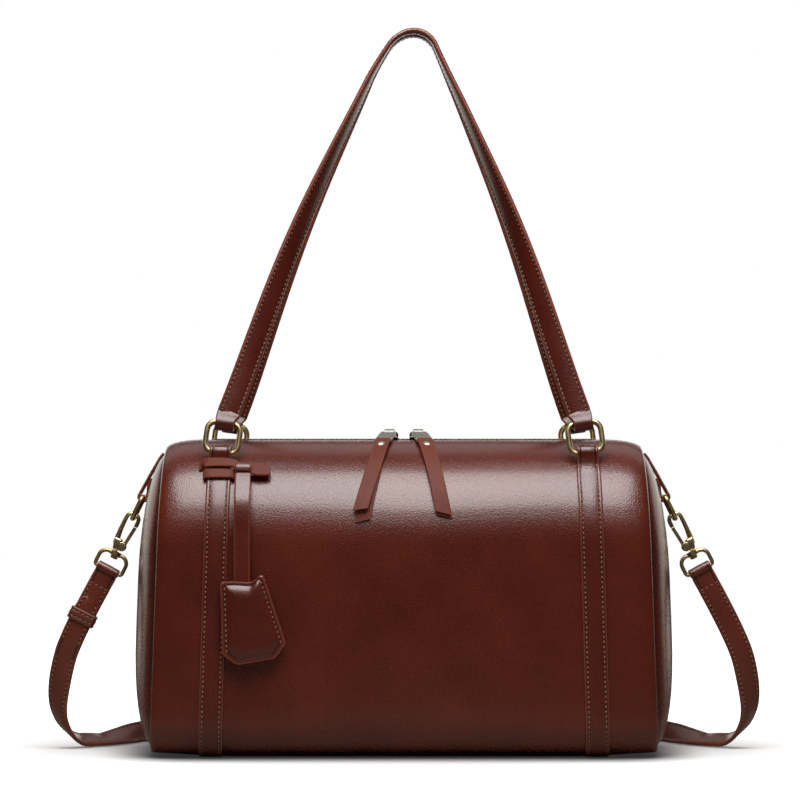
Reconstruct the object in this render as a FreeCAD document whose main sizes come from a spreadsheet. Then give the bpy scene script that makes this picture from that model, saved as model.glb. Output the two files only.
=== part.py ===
"""A leather barrel bag with twin shoulder handles, a two-way zip, a key bell and a clip-on crossbody strap.

Millimetres, +Z up, +X to the wearer's left when the bag faces -Y. The origin is the middle of the base on
the floor. Every size is a cell of the sheet, and each piece is an object of the document with its own label.
"""
import FreeCAD
import Part
import math
import os
from FreeCAD import Matrix, Placement, Rotation, Vector

DRIVING_SIZES = [
    # The body: a tube of leather with a round shoulder, closed by two bulging ends.
    ("base_length", 316.0),
    ("top_length", 302.0),
    ("body_height", 199.0),
    ("body_depth", 150.0),
    ("top_flat", 18.0),
    ("heel_radius", 22.0),
    ("end_top_drop", 9.0),
    ("end_heel_lift", 4.0),
    ("end_draw", 4.0),
    ("end_round", 28.0),
    ("leather", 2.0),
    ("layer_gap", 0.2),
    ("base_width", 96.0),
    ("base_overlap", 8.0),
    ("base_inset", 5.0),
    ("end_bulge", 15.0),
    ("end_seat", 3.0),
    ("lining_wall", 0.8),
    ("board_thickness", 2.5),
    ("board_inset", 20.0),
    ("board_width", 92.0),
    ("lining_clear", 1.2),
    # The zip along the top.
    ("zip_gap", 16.0),
    ("tape_wall", 0.8),
    ("tape_under", 4.0),
    ("chain_slit", 1.4),
    ("chain_width", 2.6),
    ("chain_height", 2.6),
    ("tooth_pitch", 3.0),
    ("tooth_share", 0.55),
    ("zip_length", 247.0),
    ("tab_length", 24.0),
    ("slider_length", 12.0),
    ("slider_width", 9.0),
    ("slider_plate", 1.2),
    ("slider_clearance", 0.3),
    ("slider_offset", 9.5),
    ("bail_height", 3.4),
    ("bail_wire", 1.6),
    ("pull_plate_width", 11.0),
    ("pull_plate_length", 32.0),
    ("pull_eye_length", 6.4),
    ("pull_eye_wall", 1.1),
    ("pull_plate_wall", 2.2),
    ("pull_tag_width", 9.4),
    ("pull_tag_length", 70.0),
    ("pull_tag_wall", 2.6),
    ("pull_lift", 1.0),
    ("pull_splay", 0.16),
    ("rivet_radius", 2.6),
    # The straps sewn over the body, the rings and the shoulder handles.
    ("strap_width", 15.0),
    ("strap_wall", 2.0),
    ("strap_spread_top", 230.0),
    ("strap_spread_base", 241.0),
    ("loop_width", 13.0),
    ("loop_wall", 1.8),
    ("ring_wire", 3.6),
    ("ring_inner_width", 17.2),
    ("ring_height", 19.4),
    ("ring_corner", 5.8),
    ("ring_tilt", 8.0),
    ("ring_lean", 9.0),
    ("ring_rise_angle", 53.0),
    ("handle_width", 15.0),
    ("handle_wall", 3.0),
    ("handle_top", 458.0),
    ("handle_arch_radius", 15.0),
    ("handle_bow", 5.0),
    ("handle_part", 0.6),
    ("handle_swing", 80.0),
    # The crossbody strap, its clips and the tabs that hold them.
    ("side_tab_width", 15.0),
    ("side_tab_wall", 1.8),
    ("side_tab_start", 14.0),
    ("side_tab_end", 50.0),
    ("dee_wire", 3.0),
    ("dee_inner_width", 16.4),
    ("dee_height", 15.4),
    ("dee_bar_corner", 3.0),
    ("dee_bow_corner", 6.5),
    ("clip_angle", 26.0),
    ("hook_wire", 3.0),
    ("hook_crook_radius", 4.0),
    ("hook_arm", 15.5),
    ("hook_base_length", 7.0),
    ("hook_base_width", 10.0),
    ("hook_base_depth", 6.0),
    ("hook_play", 0.3),
    ("post_radius", 1.6),
    ("post_clearance", 0.06),
    ("post_head", 2.6),
    ("boss_height", 3.0),
    ("boss_radius", 3.4),
    ("swivel_wire", 2.6),
    ("swivel_inner_width", 16.2),
    ("swivel_height", 11.5),
    ("swivel_corner", 2.0),
    ("swivel_shoulder", 5.0),
    ("gate_wire", 2.2),
    ("gate_pin_radius", 0.7),
    ("gate_pivot_height", 4.5),
    ("cross_width", 15.0),
    ("cross_wall", 2.6),
    ("cross_loop_wall", 1.7),
    ("tongue_tip", 22.0),
    ("tongue_length", 24.0),
    ("tongue_wall", 2.0),
    ("keeper_place", 8.0),
    ("keeper_width", 8.0),
    ("keeper_wall", 1.5),
    # The key bell on its thong.
    ("thong_width", 10.0),
    ("thong_wall", 1.8),
    ("thong_drop", 49.0),
    ("thong_end", 80.0),
    ("thong_bore", 2.9),
    ("tail_width", 5.0),
    ("toggle_width", 9.0),
    ("toggle_length", 10.0),
    ("band_wall", 1.8),
    ("band_middle_angle", 41.0),
    ("band_span_angle", 10.0),
    ("bell_height", 52.0),
    ("bell_top_width", 27.0),
    ("bell_base_width", 40.0),
    ("bell_corner", 8.0),
    ("bell_wall", 1.7),
    ("bell_room", 5.6),
    ("bell_seam", 3.0),
    ("bell_foot", 60.0),
    ("bell_tilt", 10.0),
    ("key_ring_radius", 7.0),
    ("key_ring_wire", 1.5),
    ("key_eye_width", 5.0),
]

doc = FreeCAD.newDocument("barrel_bag")
sheet = doc.addObject("Spreadsheet::Sheet", "sizes")
for row, (alias, value) in enumerate(DRIVING_SIZES, start=1):
    sheet.set(f"A{row}", alias)
    sheet.set(f"B{row}", str(value))
    sheet.setAlias(f"B{row}", alias)
doc.recompute()

sub_parts = []


def size(alias):
    """The value of one cell of the sheet."""
    return float(getattr(sheet, alias))


def keep(obj, label):
    """Names a finished object as a sub-part to be written out."""
    obj.Label = label
    sub_parts.append(obj)
    return obj


def solid_piece(label, shape):
    """A sub-part whose form no sketch or primitive gives, such as draped leather."""
    obj = doc.addObject("Part::Feature", "piece_" + label)
    obj.Shape = shape
    return keep(obj, label)


def mirrored_y(shape):
    return shape.mirror(Vector(0, 0, 0), Vector(0, 1, 0))


def mirrored_x(shape):
    return shape.mirror(Vector(0, 0, 0), Vector(1, 0, 0))


def line(a, b):
    return Part.LineSegment(a, b).toShape()


def arc(a, middle, b):
    return Part.Arc(a, middle, b).toShape()


def corner_arc(centre, radius, start_deg, end_deg):
    """An arc in the YZ plane about centre, from one angle to another, measured from +Y towards +Z."""
    points = []
    for share in (0.0, 0.5, 1.0):
        angle = math.radians(start_deg + share * (end_deg - start_deg))
        points.append(centre + Vector(0, math.cos(angle), math.sin(angle)) * radius)
    return arc(*points), points[0], points[2]


# The body's own measures, worked out from the sheet.
leather = size("leather")
gap = size("layer_gap")
half_depth = size("body_depth") / 2
top_half = size("top_flat") / 2
shoulder = half_depth - top_half
underside = leather + gap
base_half = size("base_width") / 2
taper_deg = math.degrees(math.atan((size("base_length") - size("top_length")) / 2 / size("body_height")))
shoulder_centre = Vector(0, -top_half, size("body_height") - shoulder)


def draw_in(from_end):
    """The share of the ends' drawing-in at a distance from the end seam: 1 at the seam, 0 past end_round."""
    reach = min(from_end / size("end_round"), 1.0)
    return 1.0 - math.sqrt(1.0 - (1.0 - reach) ** 2)


def station(share):
    """The seam plane's placement at a share of the half length, leaning in towards the top."""
    return Placement(
        Vector(share * size("base_length") / 2, 0, 0), Rotation(Vector(0, 1, 0), -share * taper_deg)
    )


def body_stations():
    """Shares of the half length where the body's section is drawn."""
    half = size("base_length") / 2
    right = [1.0 - from_end * size("end_round") / half for from_end in (1.0, 0.7, 0.45, 0.25, 0.11, 0.03, 0.0)]
    return [-share for share in reversed(right)] + right


def body_limits(share, inset):
    """Half depth, lowest and highest level of the body's section, taken in by inset."""
    drawn = draw_in((1.0 - abs(share)) * size("base_length") / 2)
    upright = size("body_height") / math.cos(math.radians(share * taper_deg))
    return (
        half_depth - drawn * size("end_draw") - inset,
        underside + drawn * size("end_heel_lift") + inset,
        upright - drawn * size("end_top_drop") - inset,
    )


def half_outline(share, inset, top_edge, base_edge, lift=0.0):
    """The front half of the section as edges, from the zip's edge over the shoulder to the base's edge."""
    deep, low, high = body_limits(share, inset)
    low += lift
    top_radius = deep - top_half
    heel = size("heel_radius") - inset
    over, top_end, front_start = corner_arc(Vector(0, -top_half, high - top_radius), top_radius, 90, 180)
    under, front_end, base_start = corner_arc(Vector(0, heel - deep, low + heel), heel, 180, 270)
    edges = [over, line(front_start, front_end), under]
    start, end = top_end, base_start
    if top_half - top_edge > 1e-6:
        start = Vector(0, -top_edge, high)
        edges.insert(0, line(start, top_end))
    if deep - heel - base_edge > 1e-6:
        end = Vector(0, -base_edge, low)
        edges.append(line(base_start, end))
    return edges, start, end


def panel_section(share, outer_inset, wall, top_edge, base_edge):
    """A closed C-shaped section of one leather layer that wraps the front half of the body."""
    outer, outer_start, outer_end = half_outline(share, outer_inset, top_edge, base_edge)
    inner, inner_start, inner_end = half_outline(share, outer_inset + wall, top_edge, base_edge)
    ends = [line(outer_start, inner_start), line(outer_end, inner_end)]
    wire = Part.Wire(Part.__sortEdges__(outer + inner + ends))
    wire.Placement = station(share)
    return wire


def closed_section(share, inset):
    """The whole rounded outline of the body at one station, taken in by inset."""
    front, start, end = half_outline(share, inset, top_half, 0.0)
    back = [mirrored_y(edge) for edge in front]
    across = line(start, Vector(0, -start.y, start.z))
    wire = Part.Wire(Part.__sortEdges__(front + back + [across]))
    wire.Placement = station(share)
    return wire


# The leather panels wrap the front and the back, and meet the base panel on its upper face.
zip_half = size("zip_gap") / 2
panel_edge = base_half - size("base_overlap")
front_panel = Part.makeLoft(
    [panel_section(share, 0.0, leather, zip_half, panel_edge) for share in body_stations()], True, True
)
solid_piece("front_panel", front_panel)
solid_piece("back_panel", mirrored_y(front_panel))


def cells(text):
    """An expression in which each word is a cell of the sheet."""
    words = sorted((alias for alias, value in DRIVING_SIZES), key=len, reverse=True)
    parts = []
    for token in text.split():
        parts.append("<<sizes>>." + token if token in words else token)
    return " ".join(parts)


def box(name, length, width, height, left, front, low):
    """A box whose three sizes and whose corner are expressions of the sheet's cells."""
    obj = doc.addObject("Part::Box", name)
    obj.setExpression("Length", cells(length))
    obj.setExpression("Width", cells(width))
    obj.setExpression("Height", cells(height))
    obj.setExpression("Placement.Base.x", cells(left))
    obj.setExpression("Placement.Base.y", cells(front))
    obj.setExpression("Placement.Base.z", cells(low))
    return obj


def fused(label, pieces):
    obj = doc.addObject("Part::MultiFuse", "fused_" + label)
    obj.Shapes = pieces
    return keep(obj, label)


keep(
    box(
        "base_box",
        "base_length - 2 * base_inset",
        "base_width",
        "leather",
        "base_inset - base_length / 2",
        "0 - base_width / 2",
        "0",
    ),
    "base_panel",
)
keep(
    box(
        "board_box",
        "base_length - 2 * board_inset",
        "board_width",
        "board_thickness",
        "board_inset - base_length / 2",
        "0 - board_width / 2",
        "2 * leather + 2 * layer_gap",
    ),
    "base_board",
)


def end_wire(scale, outward, inset, side):
    """The body's end outline, drawn about its middle at a scale and moved outward from the seam's plane."""
    deep, low, high = body_limits(1.0, inset)
    middle = (low + high) / 2
    flat = closed_section(1.0, inset)
    flat.Placement = Placement()
    grow = Matrix()
    grow.move(Vector(0, 0, -middle))
    grow.scale(Vector(1, scale, scale))
    grow.move(Vector(outward, 0, middle))
    wire = flat.transformGeometry(grow)
    wire.Placement = station(1.0).multiply(wire.Placement)
    return wire if side > 0 else mirrored_x(wire)


def end_dome(lower, shrink, side):
    """A pillow-shaped solid on the seam's outline, lowered inward and shrunk for the inner face."""
    rise = size("end_bulge") + size("end_seat")
    wires = []
    for angle in (0, 16, 34, 52, 68, 80):
        scale = math.cos(math.radians(angle)) ** 0.8 * shrink
        outward = rise * math.sin(math.radians(angle)) - size("end_seat") - lower
        wires.append(end_wire(scale, outward, leather + gap, side))
    return Part.makeLoft(wires, True)


for side, name in ((-1, "left"), (1, "right")):
    inner_scale = 1.0 - leather / (half_depth - leather)
    dish = end_dome(0.0, 1.0, side).cut(end_dome(leather, inner_scale, side))
    solid_piece(name + "_end_panel", dish)

# The lining is a thin tube inside the panels, open under the zip, with an end wall on each side.
lining_wall = size("lining_wall")
lining_inset = leather + size("tape_wall") + 3 * gap
board_top = 2 * leather + 2 * gap + size("board_thickness")
lining_lift = board_top + gap - underside - lining_inset
half_length = size("base_length") / 2
wall_far = 1.0 - (size("end_seat") + leather + size("lining_clear")) / half_length
wall_near = wall_far - lining_wall / half_length
lining_end = wall_near - gap / half_length


def lining_section(share):
    """A closed U-shaped section of the lining, from the zip's front edge round the base to its back edge."""
    rows = []
    for inset in (lining_inset, lining_inset + lining_wall):
        edges, start, end = half_outline(share, inset, zip_half, 0.0, lining_lift)
        rows.append((edges + [mirrored_y(edge) for edge in edges], start))
    (outer, outer_start), (inner, inner_start) = rows
    front_end = line(outer_start, inner_start)
    wire = Part.Wire(Part.__sortEdges__(outer + inner + [front_end, mirrored_y(front_end)]))
    wire.Placement = station(share)
    return wire


lining_shares = [share for share in body_stations() if abs(share) < lining_end - 0.005]
lining_shares = [-lining_end] + lining_shares + [lining_end]
solid_piece("lining_wrap", Part.makeLoft([lining_section(share) for share in lining_shares], True, True))
for side, name in ((-1, "left"), (1, "right")):
    shares = (side * wall_near, side * wall_far)
    solid_piece("lining_end_" + name, Part.makeLoft([closed_section(s, lining_inset) for s in shares], True))

# The zip: a tape under each leather edge, a row of teeth on each tape, and a leather tab at each end.
tape_top = size("body_height") - leather - gap
TAPE_LOW = "body_height - leather - layer_gap - tape_wall"
TAPE_TOP = "body_height - leather - layer_gap"
TAPE_WIDTH = "zip_gap / 2 + tape_under - chain_slit / 2"
for front, name in ((True, "front"), (False, "back")):
    near = "0 - zip_gap / 2 - tape_under" if front else "chain_slit / 2"
    tape = box("tape_" + name, "zip_length", TAPE_WIDTH, "tape_wall", "0 - zip_length / 2", near, TAPE_LOW)
    keep(tape, "zip_tape_" + name)


def tooth_row(front):
    """One row of teeth on a thin cord: a comb, made as one extruded outline."""
    slit = size("chain_slit") / 2
    cord = size("chain_width") * (1 - size("tooth_share"))
    pitch = size("tooth_pitch")
    count = int(size("zip_length") / pitch) - 1
    start = -count * pitch / 2
    corners = [Vector(start, slit + size("chain_width"), 0), Vector(start + count * pitch, slit + size("chain_width"), 0)]
    far = slit + size("chain_width") - cord
    for tooth in range(count - 1, -1, -1):
        left = start + tooth * pitch
        right = left + pitch * size("tooth_share")
        corners += [Vector(right, far, 0), Vector(right, slit, 0), Vector(left, slit, 0), Vector(left, far, 0)]
    corners[2:2] = [Vector(start + count * pitch, far, 0)]
    face = Part.Face(Part.makePolygon(corners + [corners[0]]))
    row = face.extrude(Vector(0, 0, size("chain_height")))
    row.translate(Vector(0, 0, tape_top))
    return mirrored_y(row) if front else row


solid_piece("zip_chain_front", tooth_row(True))
solid_piece("zip_chain_back", tooth_row(False))


def end_tab(side):
    """A leather tab that closes the zip's gap and follows the top's drop towards the end."""
    half = zip_half - gap
    start = size("zip_length") / 2 + gap
    wires = []
    for along in (0.0, 0.25, 0.5, 0.75, 1.0):
        x = start + along * size("tab_length")
        share = x / (size("top_length") / 2)
        deep, low, high = body_limits(min(share, 1.0), 0.0)
        corners = [
            Vector(side * x, -half, high),
            Vector(side * x, half, high),
            Vector(side * x, half, high - leather),
            Vector(side * x, -half, high - leather),
        ]
        wires.append(Part.makePolygon(corners + [corners[0]]))
    return Part.makeLoft(wires, True, True)


solid_piece("zip_end_tab_left", end_tab(-1))
solid_piece("zip_end_tab_right", end_tab(1))

# Each slider is two plates joined by a web that runs between the rows of teeth, with a bail on top.
PLATE_LOW = TAPE_TOP + " + chain_height + slider_clearance"
FOOT_LOW = TAPE_LOW + " - slider_clearance - slider_plate"
BAIL_LOW = PLATE_LOW + " + slider_plate"
bail_axis = tape_top + size("chain_height") + size("slider_clearance") + size("slider_plate")
bail_axis += size("bail_height") - size("bail_wire") / 2
for side, name in ((-1, "left"), (1, "right")):
    middle = f"{side} * slider_offset"
    left = middle + " - slider_length / 2"
    half_width = "0 - slider_width / 2"
    web = "chain_slit - 2 * slider_clearance"
    legs = []
    for end in (0, 1):
        leg_left = left + f" + {end} * ( slider_length - bail_wire )"
        label = f"bail_leg_{name}_{end}"
        legs.append(box(label, "bail_wire", "bail_wire", "bail_height", leg_left, "0 - bail_wire / 2", BAIL_LOW))
    bar = doc.addObject("Part::Cylinder", "bail_bar_" + name)
    bar.setExpression("Radius", cells("bail_wire / 2"))
    bar.setExpression("Height", cells("slider_length"))
    bar.Placement = Placement(Vector(0, 0, 0), Rotation(Vector(0, 1, 0), 90))
    bar.setExpression("Placement.Base.x", cells(left))
    bar.setExpression("Placement.Base.z", cells(BAIL_LOW + " + bail_height - bail_wire / 2"))
    fused(
        "zip_slider_" + name,
        [
            box("plate_" + name, "slider_length", "slider_width", "slider_plate", left, half_width, PLATE_LOW),
            box("foot_" + name, "slider_length", "slider_width", "slider_plate", left, half_width, FOOT_LOW),
            box(
                "web_" + name,
                "slider_length",
                web,
                "tape_wall + chain_height + 2 * slider_clearance + 2 * slider_plate",
                left,
                "0 - chain_slit / 2 + slider_clearance",
                FOOT_LOW,
            ),
            bar,
        ]
        + legs,
    )


def swept_back(shape, side):
    """Leans a pull outward along X as it runs forward and down, without changing its height over the leather."""
    lean = Matrix()
    lean.A12 = -side * size("pull_splay") * 0.6
    lean.A13 = -side * size("pull_splay")
    lean.A14 = side * size("pull_splay") * bail_axis
    moved = shape.transformGeometry(lean)
    moved.translate(Vector(side * size("slider_offset"), 0, 0))
    return moved


def pull_plate():
    """A metal clip with an eye round the bail; it slopes forward and ends over the shoulder."""
    bore = size("bail_wire") / 2 + size("slider_clearance")
    outer = bore + size("pull_eye_wall")
    eye_half = size("pull_eye_length") / 2
    along_x = Vector(1, 0, 0)
    eye = Part.makeCylinder(outer, size("pull_eye_length"), Vector(-eye_half, 0, bail_axis), along_x)
    hole = Part.makeCylinder(bore, size("pull_eye_length"), Vector(-eye_half, 0, bail_axis), along_x)
    wall = size("pull_plate_wall")
    clip = Part.makeBox(
        size("pull_plate_width"),
        size("pull_plate_length") - bore,
        wall,
        Vector(-size("pull_plate_width") / 2, -size("pull_plate_length"), bail_axis - wall / 2),
    )
    neck_room = Part.makeBox(
        size("pull_plate_width"),
        size("slider_width"),
        4 * wall,
        Vector(-size("pull_plate_width") / 2, -outer - gap, bail_axis - 2 * wall),
    )
    neck = Part.makeBox(
        size("pull_eye_length"),
        outer + gap + 1.0,
        size("pull_eye_wall") * 1.6,
        Vector(-eye_half, -outer - gap - 1.0, bail_axis - size("pull_eye_wall") * 0.8),
    )
    plate = clip.cut(neck_room).fuse(neck).fuse(eye).cut(hole).removeSplitter()
    plate.rotate(Vector(0, 0, bail_axis), along_x, pull_slope)
    return plate


def pull_path(reach):
    """A point on the pull's middle line and its direction, reach millimetres forward of the bail."""
    drape = shoulder + size("pull_lift") + size("pull_tag_wall") / 2
    turn = (reach - top_half) / drape
    point = shoulder_centre + Vector(0, -math.sin(turn), math.cos(turn)) * drape
    return point, Vector(0, -math.cos(turn), -math.sin(turn)), Vector(0, -math.sin(turn), math.cos(turn))


end_point, end_run, end_up = pull_path(size("pull_plate_length"))
pull_slope = math.degrees(math.atan2(bail_axis - end_point.z, -end_point.y))


def pull_tag():
    """A folded leather tag that hangs from the clip and lies over the shoulder."""
    half = size("pull_tag_width") / 2
    wall = size("pull_tag_wall") / 2
    wires = []
    steps = 14
    for step in range(steps + 1):
        reach = size("pull_plate_length") + gap + size("pull_tag_length") * step / steps
        point, run, up = pull_path(reach)
        across = Vector(half, 0, 0)
        lower = [point - across - up * wall, point + across - up * wall]
        upper = [point + across + up * wall, point - across + up * wall]
        wires.append(Part.makePolygon(lower + upper + [lower[0]]))
    return Part.makeLoft(wires, True, True)


def pull_rivet():
    """A domed rivet through the tag's folded layers, near the clip."""
    reach = size("pull_plate_length") + gap + 2.4 * size("rivet_radius")
    point, run, up = pull_path(reach)
    foot = point + up * (size("pull_tag_wall") / 2)
    ball = size("rivet_radius") * 1.6
    dome = Part.makeSphere(ball, foot - up * ball * 0.78)
    keep_side = Part.makeCylinder(size("rivet_radius") * 1.1, ball, foot, up)
    return dome.common(keep_side)


for side, name in ((-1, "left"), (1, "right")):
    solid_piece("pull_plate_" + name, swept_back(pull_plate(), side))
    solid_piece("pull_tag_" + name, swept_back(pull_tag(), side))
    solid_piece("pull_rivet_" + name, swept_back(pull_rivet(), side))


# Four straps are sewn over the body from the base to the shoulder and end in a loop round a ring's lower bar.
ring_tilt = math.radians(size("ring_tilt"))
ring_radius = size("ring_wire") / 2
loop_half = size("loop_width") / 2
bar_straight = (size("ring_inner_width") + size("ring_wire")) / 2 - size("ring_corner")
past_straight = max(loop_half - bar_straight, 0.0)
bar_curl = size("ring_corner") - math.sqrt(size("ring_corner") ** 2 - past_straight ** 2)
strap_bore = ring_radius / math.cos(ring_tilt) + loop_half * math.tan(ring_tilt) + bar_curl + 2 * gap
strap_loop = strap_bore + size("loop_wall")
rise = math.radians(180 - size("ring_rise_angle"))
bar_distance = shoulder + gap + strap_loop
lower_bar = shoulder_centre + Vector(0, math.cos(rise), math.sin(rise)) * bar_distance
lower_bar.x = size("strap_spread_top") / 2


def strap_outline(inset):
    """The strap's side view at one distance from the body: over the shoulder, down the front, under the heel."""
    deep, low, high = body_limits(0.0, inset)
    top_radius = deep - top_half
    heel = size("heel_radius") - inset
    over, top_end, front_start = corner_arc(
        Vector(0, -top_half, high - top_radius), top_radius, 180 - size("ring_rise_angle"), 180
    )
    under, front_end, base_start = corner_arc(Vector(0, heel - deep, low + heel), heel, 180, 270)
    foot = Vector(0, -base_half - gap, low)
    return [over, line(front_start, front_end), under, line(base_start, foot)], top_end, foot


def body_strap():
    """The front right strap, leaning outward towards the base, with its loop."""
    inner, inner_top, inner_foot = strap_outline(-gap)
    outer, outer_top, outer_foot = strap_outline(-gap - size("strap_wall"))
    ends = [line(inner_top, outer_top), line(inner_foot, outer_foot)]
    face = Part.Face(Part.Wire(Part.__sortEdges__(inner + outer + ends)))
    face.translate(Vector(-size("strap_width") / 2, 0, 0))
    strip = face.extrude(Vector(size("strap_width"), 0, 0))
    lean = Matrix()
    lean.A13 = (size("strap_spread_top") - size("strap_spread_base")) / 2 / lower_bar.z
    lean.A14 = size("strap_spread_base") / 2
    strip = strip.transformGeometry(lean)
    start = lower_bar - Vector(loop_half, 0, 0)
    along_x = Vector(1, 0, 0)
    loop = Part.makeCylinder(strap_loop, size("loop_width"), start, along_x)
    reach = Vector(size("strap_width"), 0, 0)
    hole = Part.makeCylinder(strap_bore, 3 * size("strap_width"), start - reach, along_x)
    return strip.fuse(loop).cut(hole).removeSplitter()


def rounded_ring(width, height, low_corner, high_corner, wire_radius):
    """A closed ring of round wire in the XZ plane, its lower bar through the origin along X."""
    half = width / 2
    share = 1 - math.sqrt(0.5)
    low = arc(
        Vector(half - low_corner, 0, 0),
        Vector(half - low_corner * share, 0, low_corner * share),
        Vector(half, 0, low_corner),
    )
    high = arc(
        Vector(half, 0, height - high_corner),
        Vector(half - high_corner * share, 0, height - high_corner * share),
        Vector(half - high_corner, 0, height),
    )
    leg = line(Vector(half, 0, low_corner), Vector(half, 0, height - high_corner))
    edges = [low, leg, high] + [mirrored_x(edge) for edge in (low, leg, high)]
    edges.append(line(Vector(low_corner - half, 0, 0), Vector(half - low_corner, 0, 0)))
    edges.append(line(Vector(high_corner - half, 0, height), Vector(half - high_corner, 0, height)))
    path = Part.Wire(Part.__sortEdges__(edges))
    profile = Part.Wire(Part.makeCircle(wire_radius, Vector(half, 0, height / 2), Vector(0, 0, 1)))
    return path.makePipeShell([profile], True, False)


tilt_in = Rotation(Vector(0, 1, 0), -size("ring_tilt"))
lean_in = Rotation(Vector(1, 0, 0), -size("ring_lean"))
ring_turn = lean_in.multiply(tilt_in)
ring_bar = ring_turn.multVec(Vector(1, 0, 0))
upper_bar = lower_bar + ring_turn.multVec(Vector(0, 0, size("ring_height")))


def strap_ring():
    width = size("ring_inner_width") + size("ring_wire")
    ring = rounded_ring(width, size("ring_height"), size("ring_corner"), size("ring_corner"), ring_radius)
    ring.Placement = Placement(lower_bar, ring_turn)
    return ring


strap = body_strap()
ring = strap_ring()
for name in ("front_left", "front_right", "back_left", "back_right"):
    strap_shape = mirrored_x(strap) if name.endswith("left") else strap
    ring_shape = mirrored_x(ring) if name.endswith("left") else ring
    if name.startswith("back"):
        strap_shape = mirrored_y(strap_shape)
        ring_shape = mirrored_y(ring_shape)
    solid_piece("body_strap_" + name, strap_shape)
    solid_piece("ring_" + name, ring_shape)

# The handles: flat straps that turn a quarter on the way up, so their faces look up at the arch.
arch_radius = size("handle_arch_radius")
swing_room = 2 * loop_half * math.sin(ring_tilt) * math.sin(math.radians(size("handle_swing") / 2))
handle_bore = ring_radius + swing_room + bar_curl + 2 * gap
apex_y = -(size("handle_width") + size("handle_part")) / 2
arch_centre_z = size("handle_top") - arch_radius
reach_z = arch_centre_z - upper_bar.z
leg_deg = math.degrees(math.atan2(upper_bar.x, reach_z))
leg_deg -= math.degrees(math.asin(arch_radius / math.hypot(upper_bar.x, reach_z)))
leg_lean = math.radians(leg_deg)
tangent_x = arch_radius * math.cos(leg_lean)
tangent_z = arch_centre_z + arch_radius * math.sin(leg_lean)


def handle_point(share):
    """A point on the right half of the handle's middle line: 0 at the ring, 1 where the arch starts, 2 on top."""
    if share <= 1.0:
        bow = size("handle_bow") * 16 * share ** 2 * (1 - share) ** 2
        x = upper_bar.x + (tangent_x - upper_bar.x) * share + bow * math.cos(leg_lean)
        z = upper_bar.z + (tangent_z - upper_bar.z) * share + bow * math.sin(leg_lean)
    else:
        angle = leg_lean + (math.pi / 2 - leg_lean) * (share - 1.0)
        x = arch_radius * math.cos(angle)
        z = arch_centre_z + arch_radius * math.sin(angle)
    y = upper_bar.y + (apex_y - upper_bar.y) * (z - upper_bar.z) / (size("handle_top") - upper_bar.z)
    return Vector(x, y, z)


def handle_section(share):
    """The strap's cross-section on the right half of the handle, turned by its share of the quarter twist."""
    step = 0.002
    run = handle_point(min(share + step, 2.0)) - handle_point(max(share - step, 0.0))
    if share == 2.0:
        run = Vector(-1, 0, 0)
    run.normalize()
    front = Vector(0, -1, 0)
    front = front - run * front.dot(run)
    front.normalize()
    outward = front.cross(run)
    turn = math.pi / 2 * min(share, 1.0)
    up = front * math.cos(turn) + outward * math.sin(turn)
    across = run.cross(up) * (size("handle_width") / 2)
    up = up * (size("handle_wall") / 2)
    point = handle_point(share)
    return [point - across - up, point + across - up, point + across + up, point - across + up]


def handle():
    """The front handle, with a loop on each upper bar that widens to both sides so that it can swing."""
    first = 0.6 * (handle_bore + size("loop_wall")) / (upper_bar - handle_point(1.0)).Length
    shares = [first + (1.0 - first) * step / 14 for step in range(15)]
    shares += [1.0 + step / 5 for step in range(1, 6)]
    right = [handle_section(share) for share in shares]
    left = []
    for corners in reversed(right[:-1]):
        flipped = [Vector(-corner.x, corner.y, corner.z) for corner in corners]
        left.append([flipped[1], flipped[0], flipped[3], flipped[2]])
    wires = [Part.makePolygon(corners + [corners[0]]) for corners in right + left]
    strip = Part.makeLoft(wires, True, True)
    outer = handle_bore + size("loop_wall")
    start = upper_bar - ring_bar * loop_half
    loop = Part.makeCylinder(outer, size("loop_width"), start, ring_bar)
    waist = ring_radius + 1.5 * gap
    reach = 0.6 * size("handle_width")
    mouth = waist + (handle_bore - waist) * reach / loop_half
    holes = [Part.makeCone(waist, mouth, reach, upper_bar, ring_bar * way) for way in (-1, 1)]
    holes += [mirrored_x(hole) for hole in holes]
    return strip.fuse([loop, mirrored_x(loop)]).cut(holes)


front_handle = handle()
solid_piece("front_handle", front_handle)
solid_piece("back_handle", mirrored_y(front_handle))


def ribbon(rows):
    """A flat strip through rectangles, each given by its middle, half width and half thickness vectors."""
    wires = []
    for point, across, up in rows:
        corners = [point - across - up, point + across - up, point + across + up, point - across + up]
        wires.append(Part.makePolygon(corners + [corners[0]]))
    return Part.makeLoft(wires, True, True)


# On each end a tab comes out of the top seam, lies over the bulge and holds a D-ring.
end_low, end_high = body_limits(1.0, leather + gap)[1:]
end_middle = (end_low + end_high) / 2


def end_meridian(angle_deg):
    """A point of the right end panel's outer face on its upright middle line, and the normal there."""
    points = []
    for angle in (angle_deg - 0.5, angle_deg, angle_deg + 0.5):
        scale = math.cos(math.radians(angle)) ** 0.8
        outward = (size("end_bulge") + size("end_seat")) * math.sin(math.radians(angle)) - size("end_seat")
        flat = Vector(outward, 0, end_middle + scale * (end_high - end_middle))
        points.append(station(1.0).multVec(flat))
    run = points[2] - points[0]
    normal = Vector(-run.z, 0, run.x)
    normal.normalize()
    return points[1], normal


dee_radius = size("dee_wire") / 2
dee_bore = dee_radius + size("hook_play")
dee_loop = dee_bore + size("side_tab_wall")
tab_foot, tab_normal = end_meridian(size("side_tab_end"))
dee_bar = tab_foot + tab_normal * (gap + dee_loop)


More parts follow.
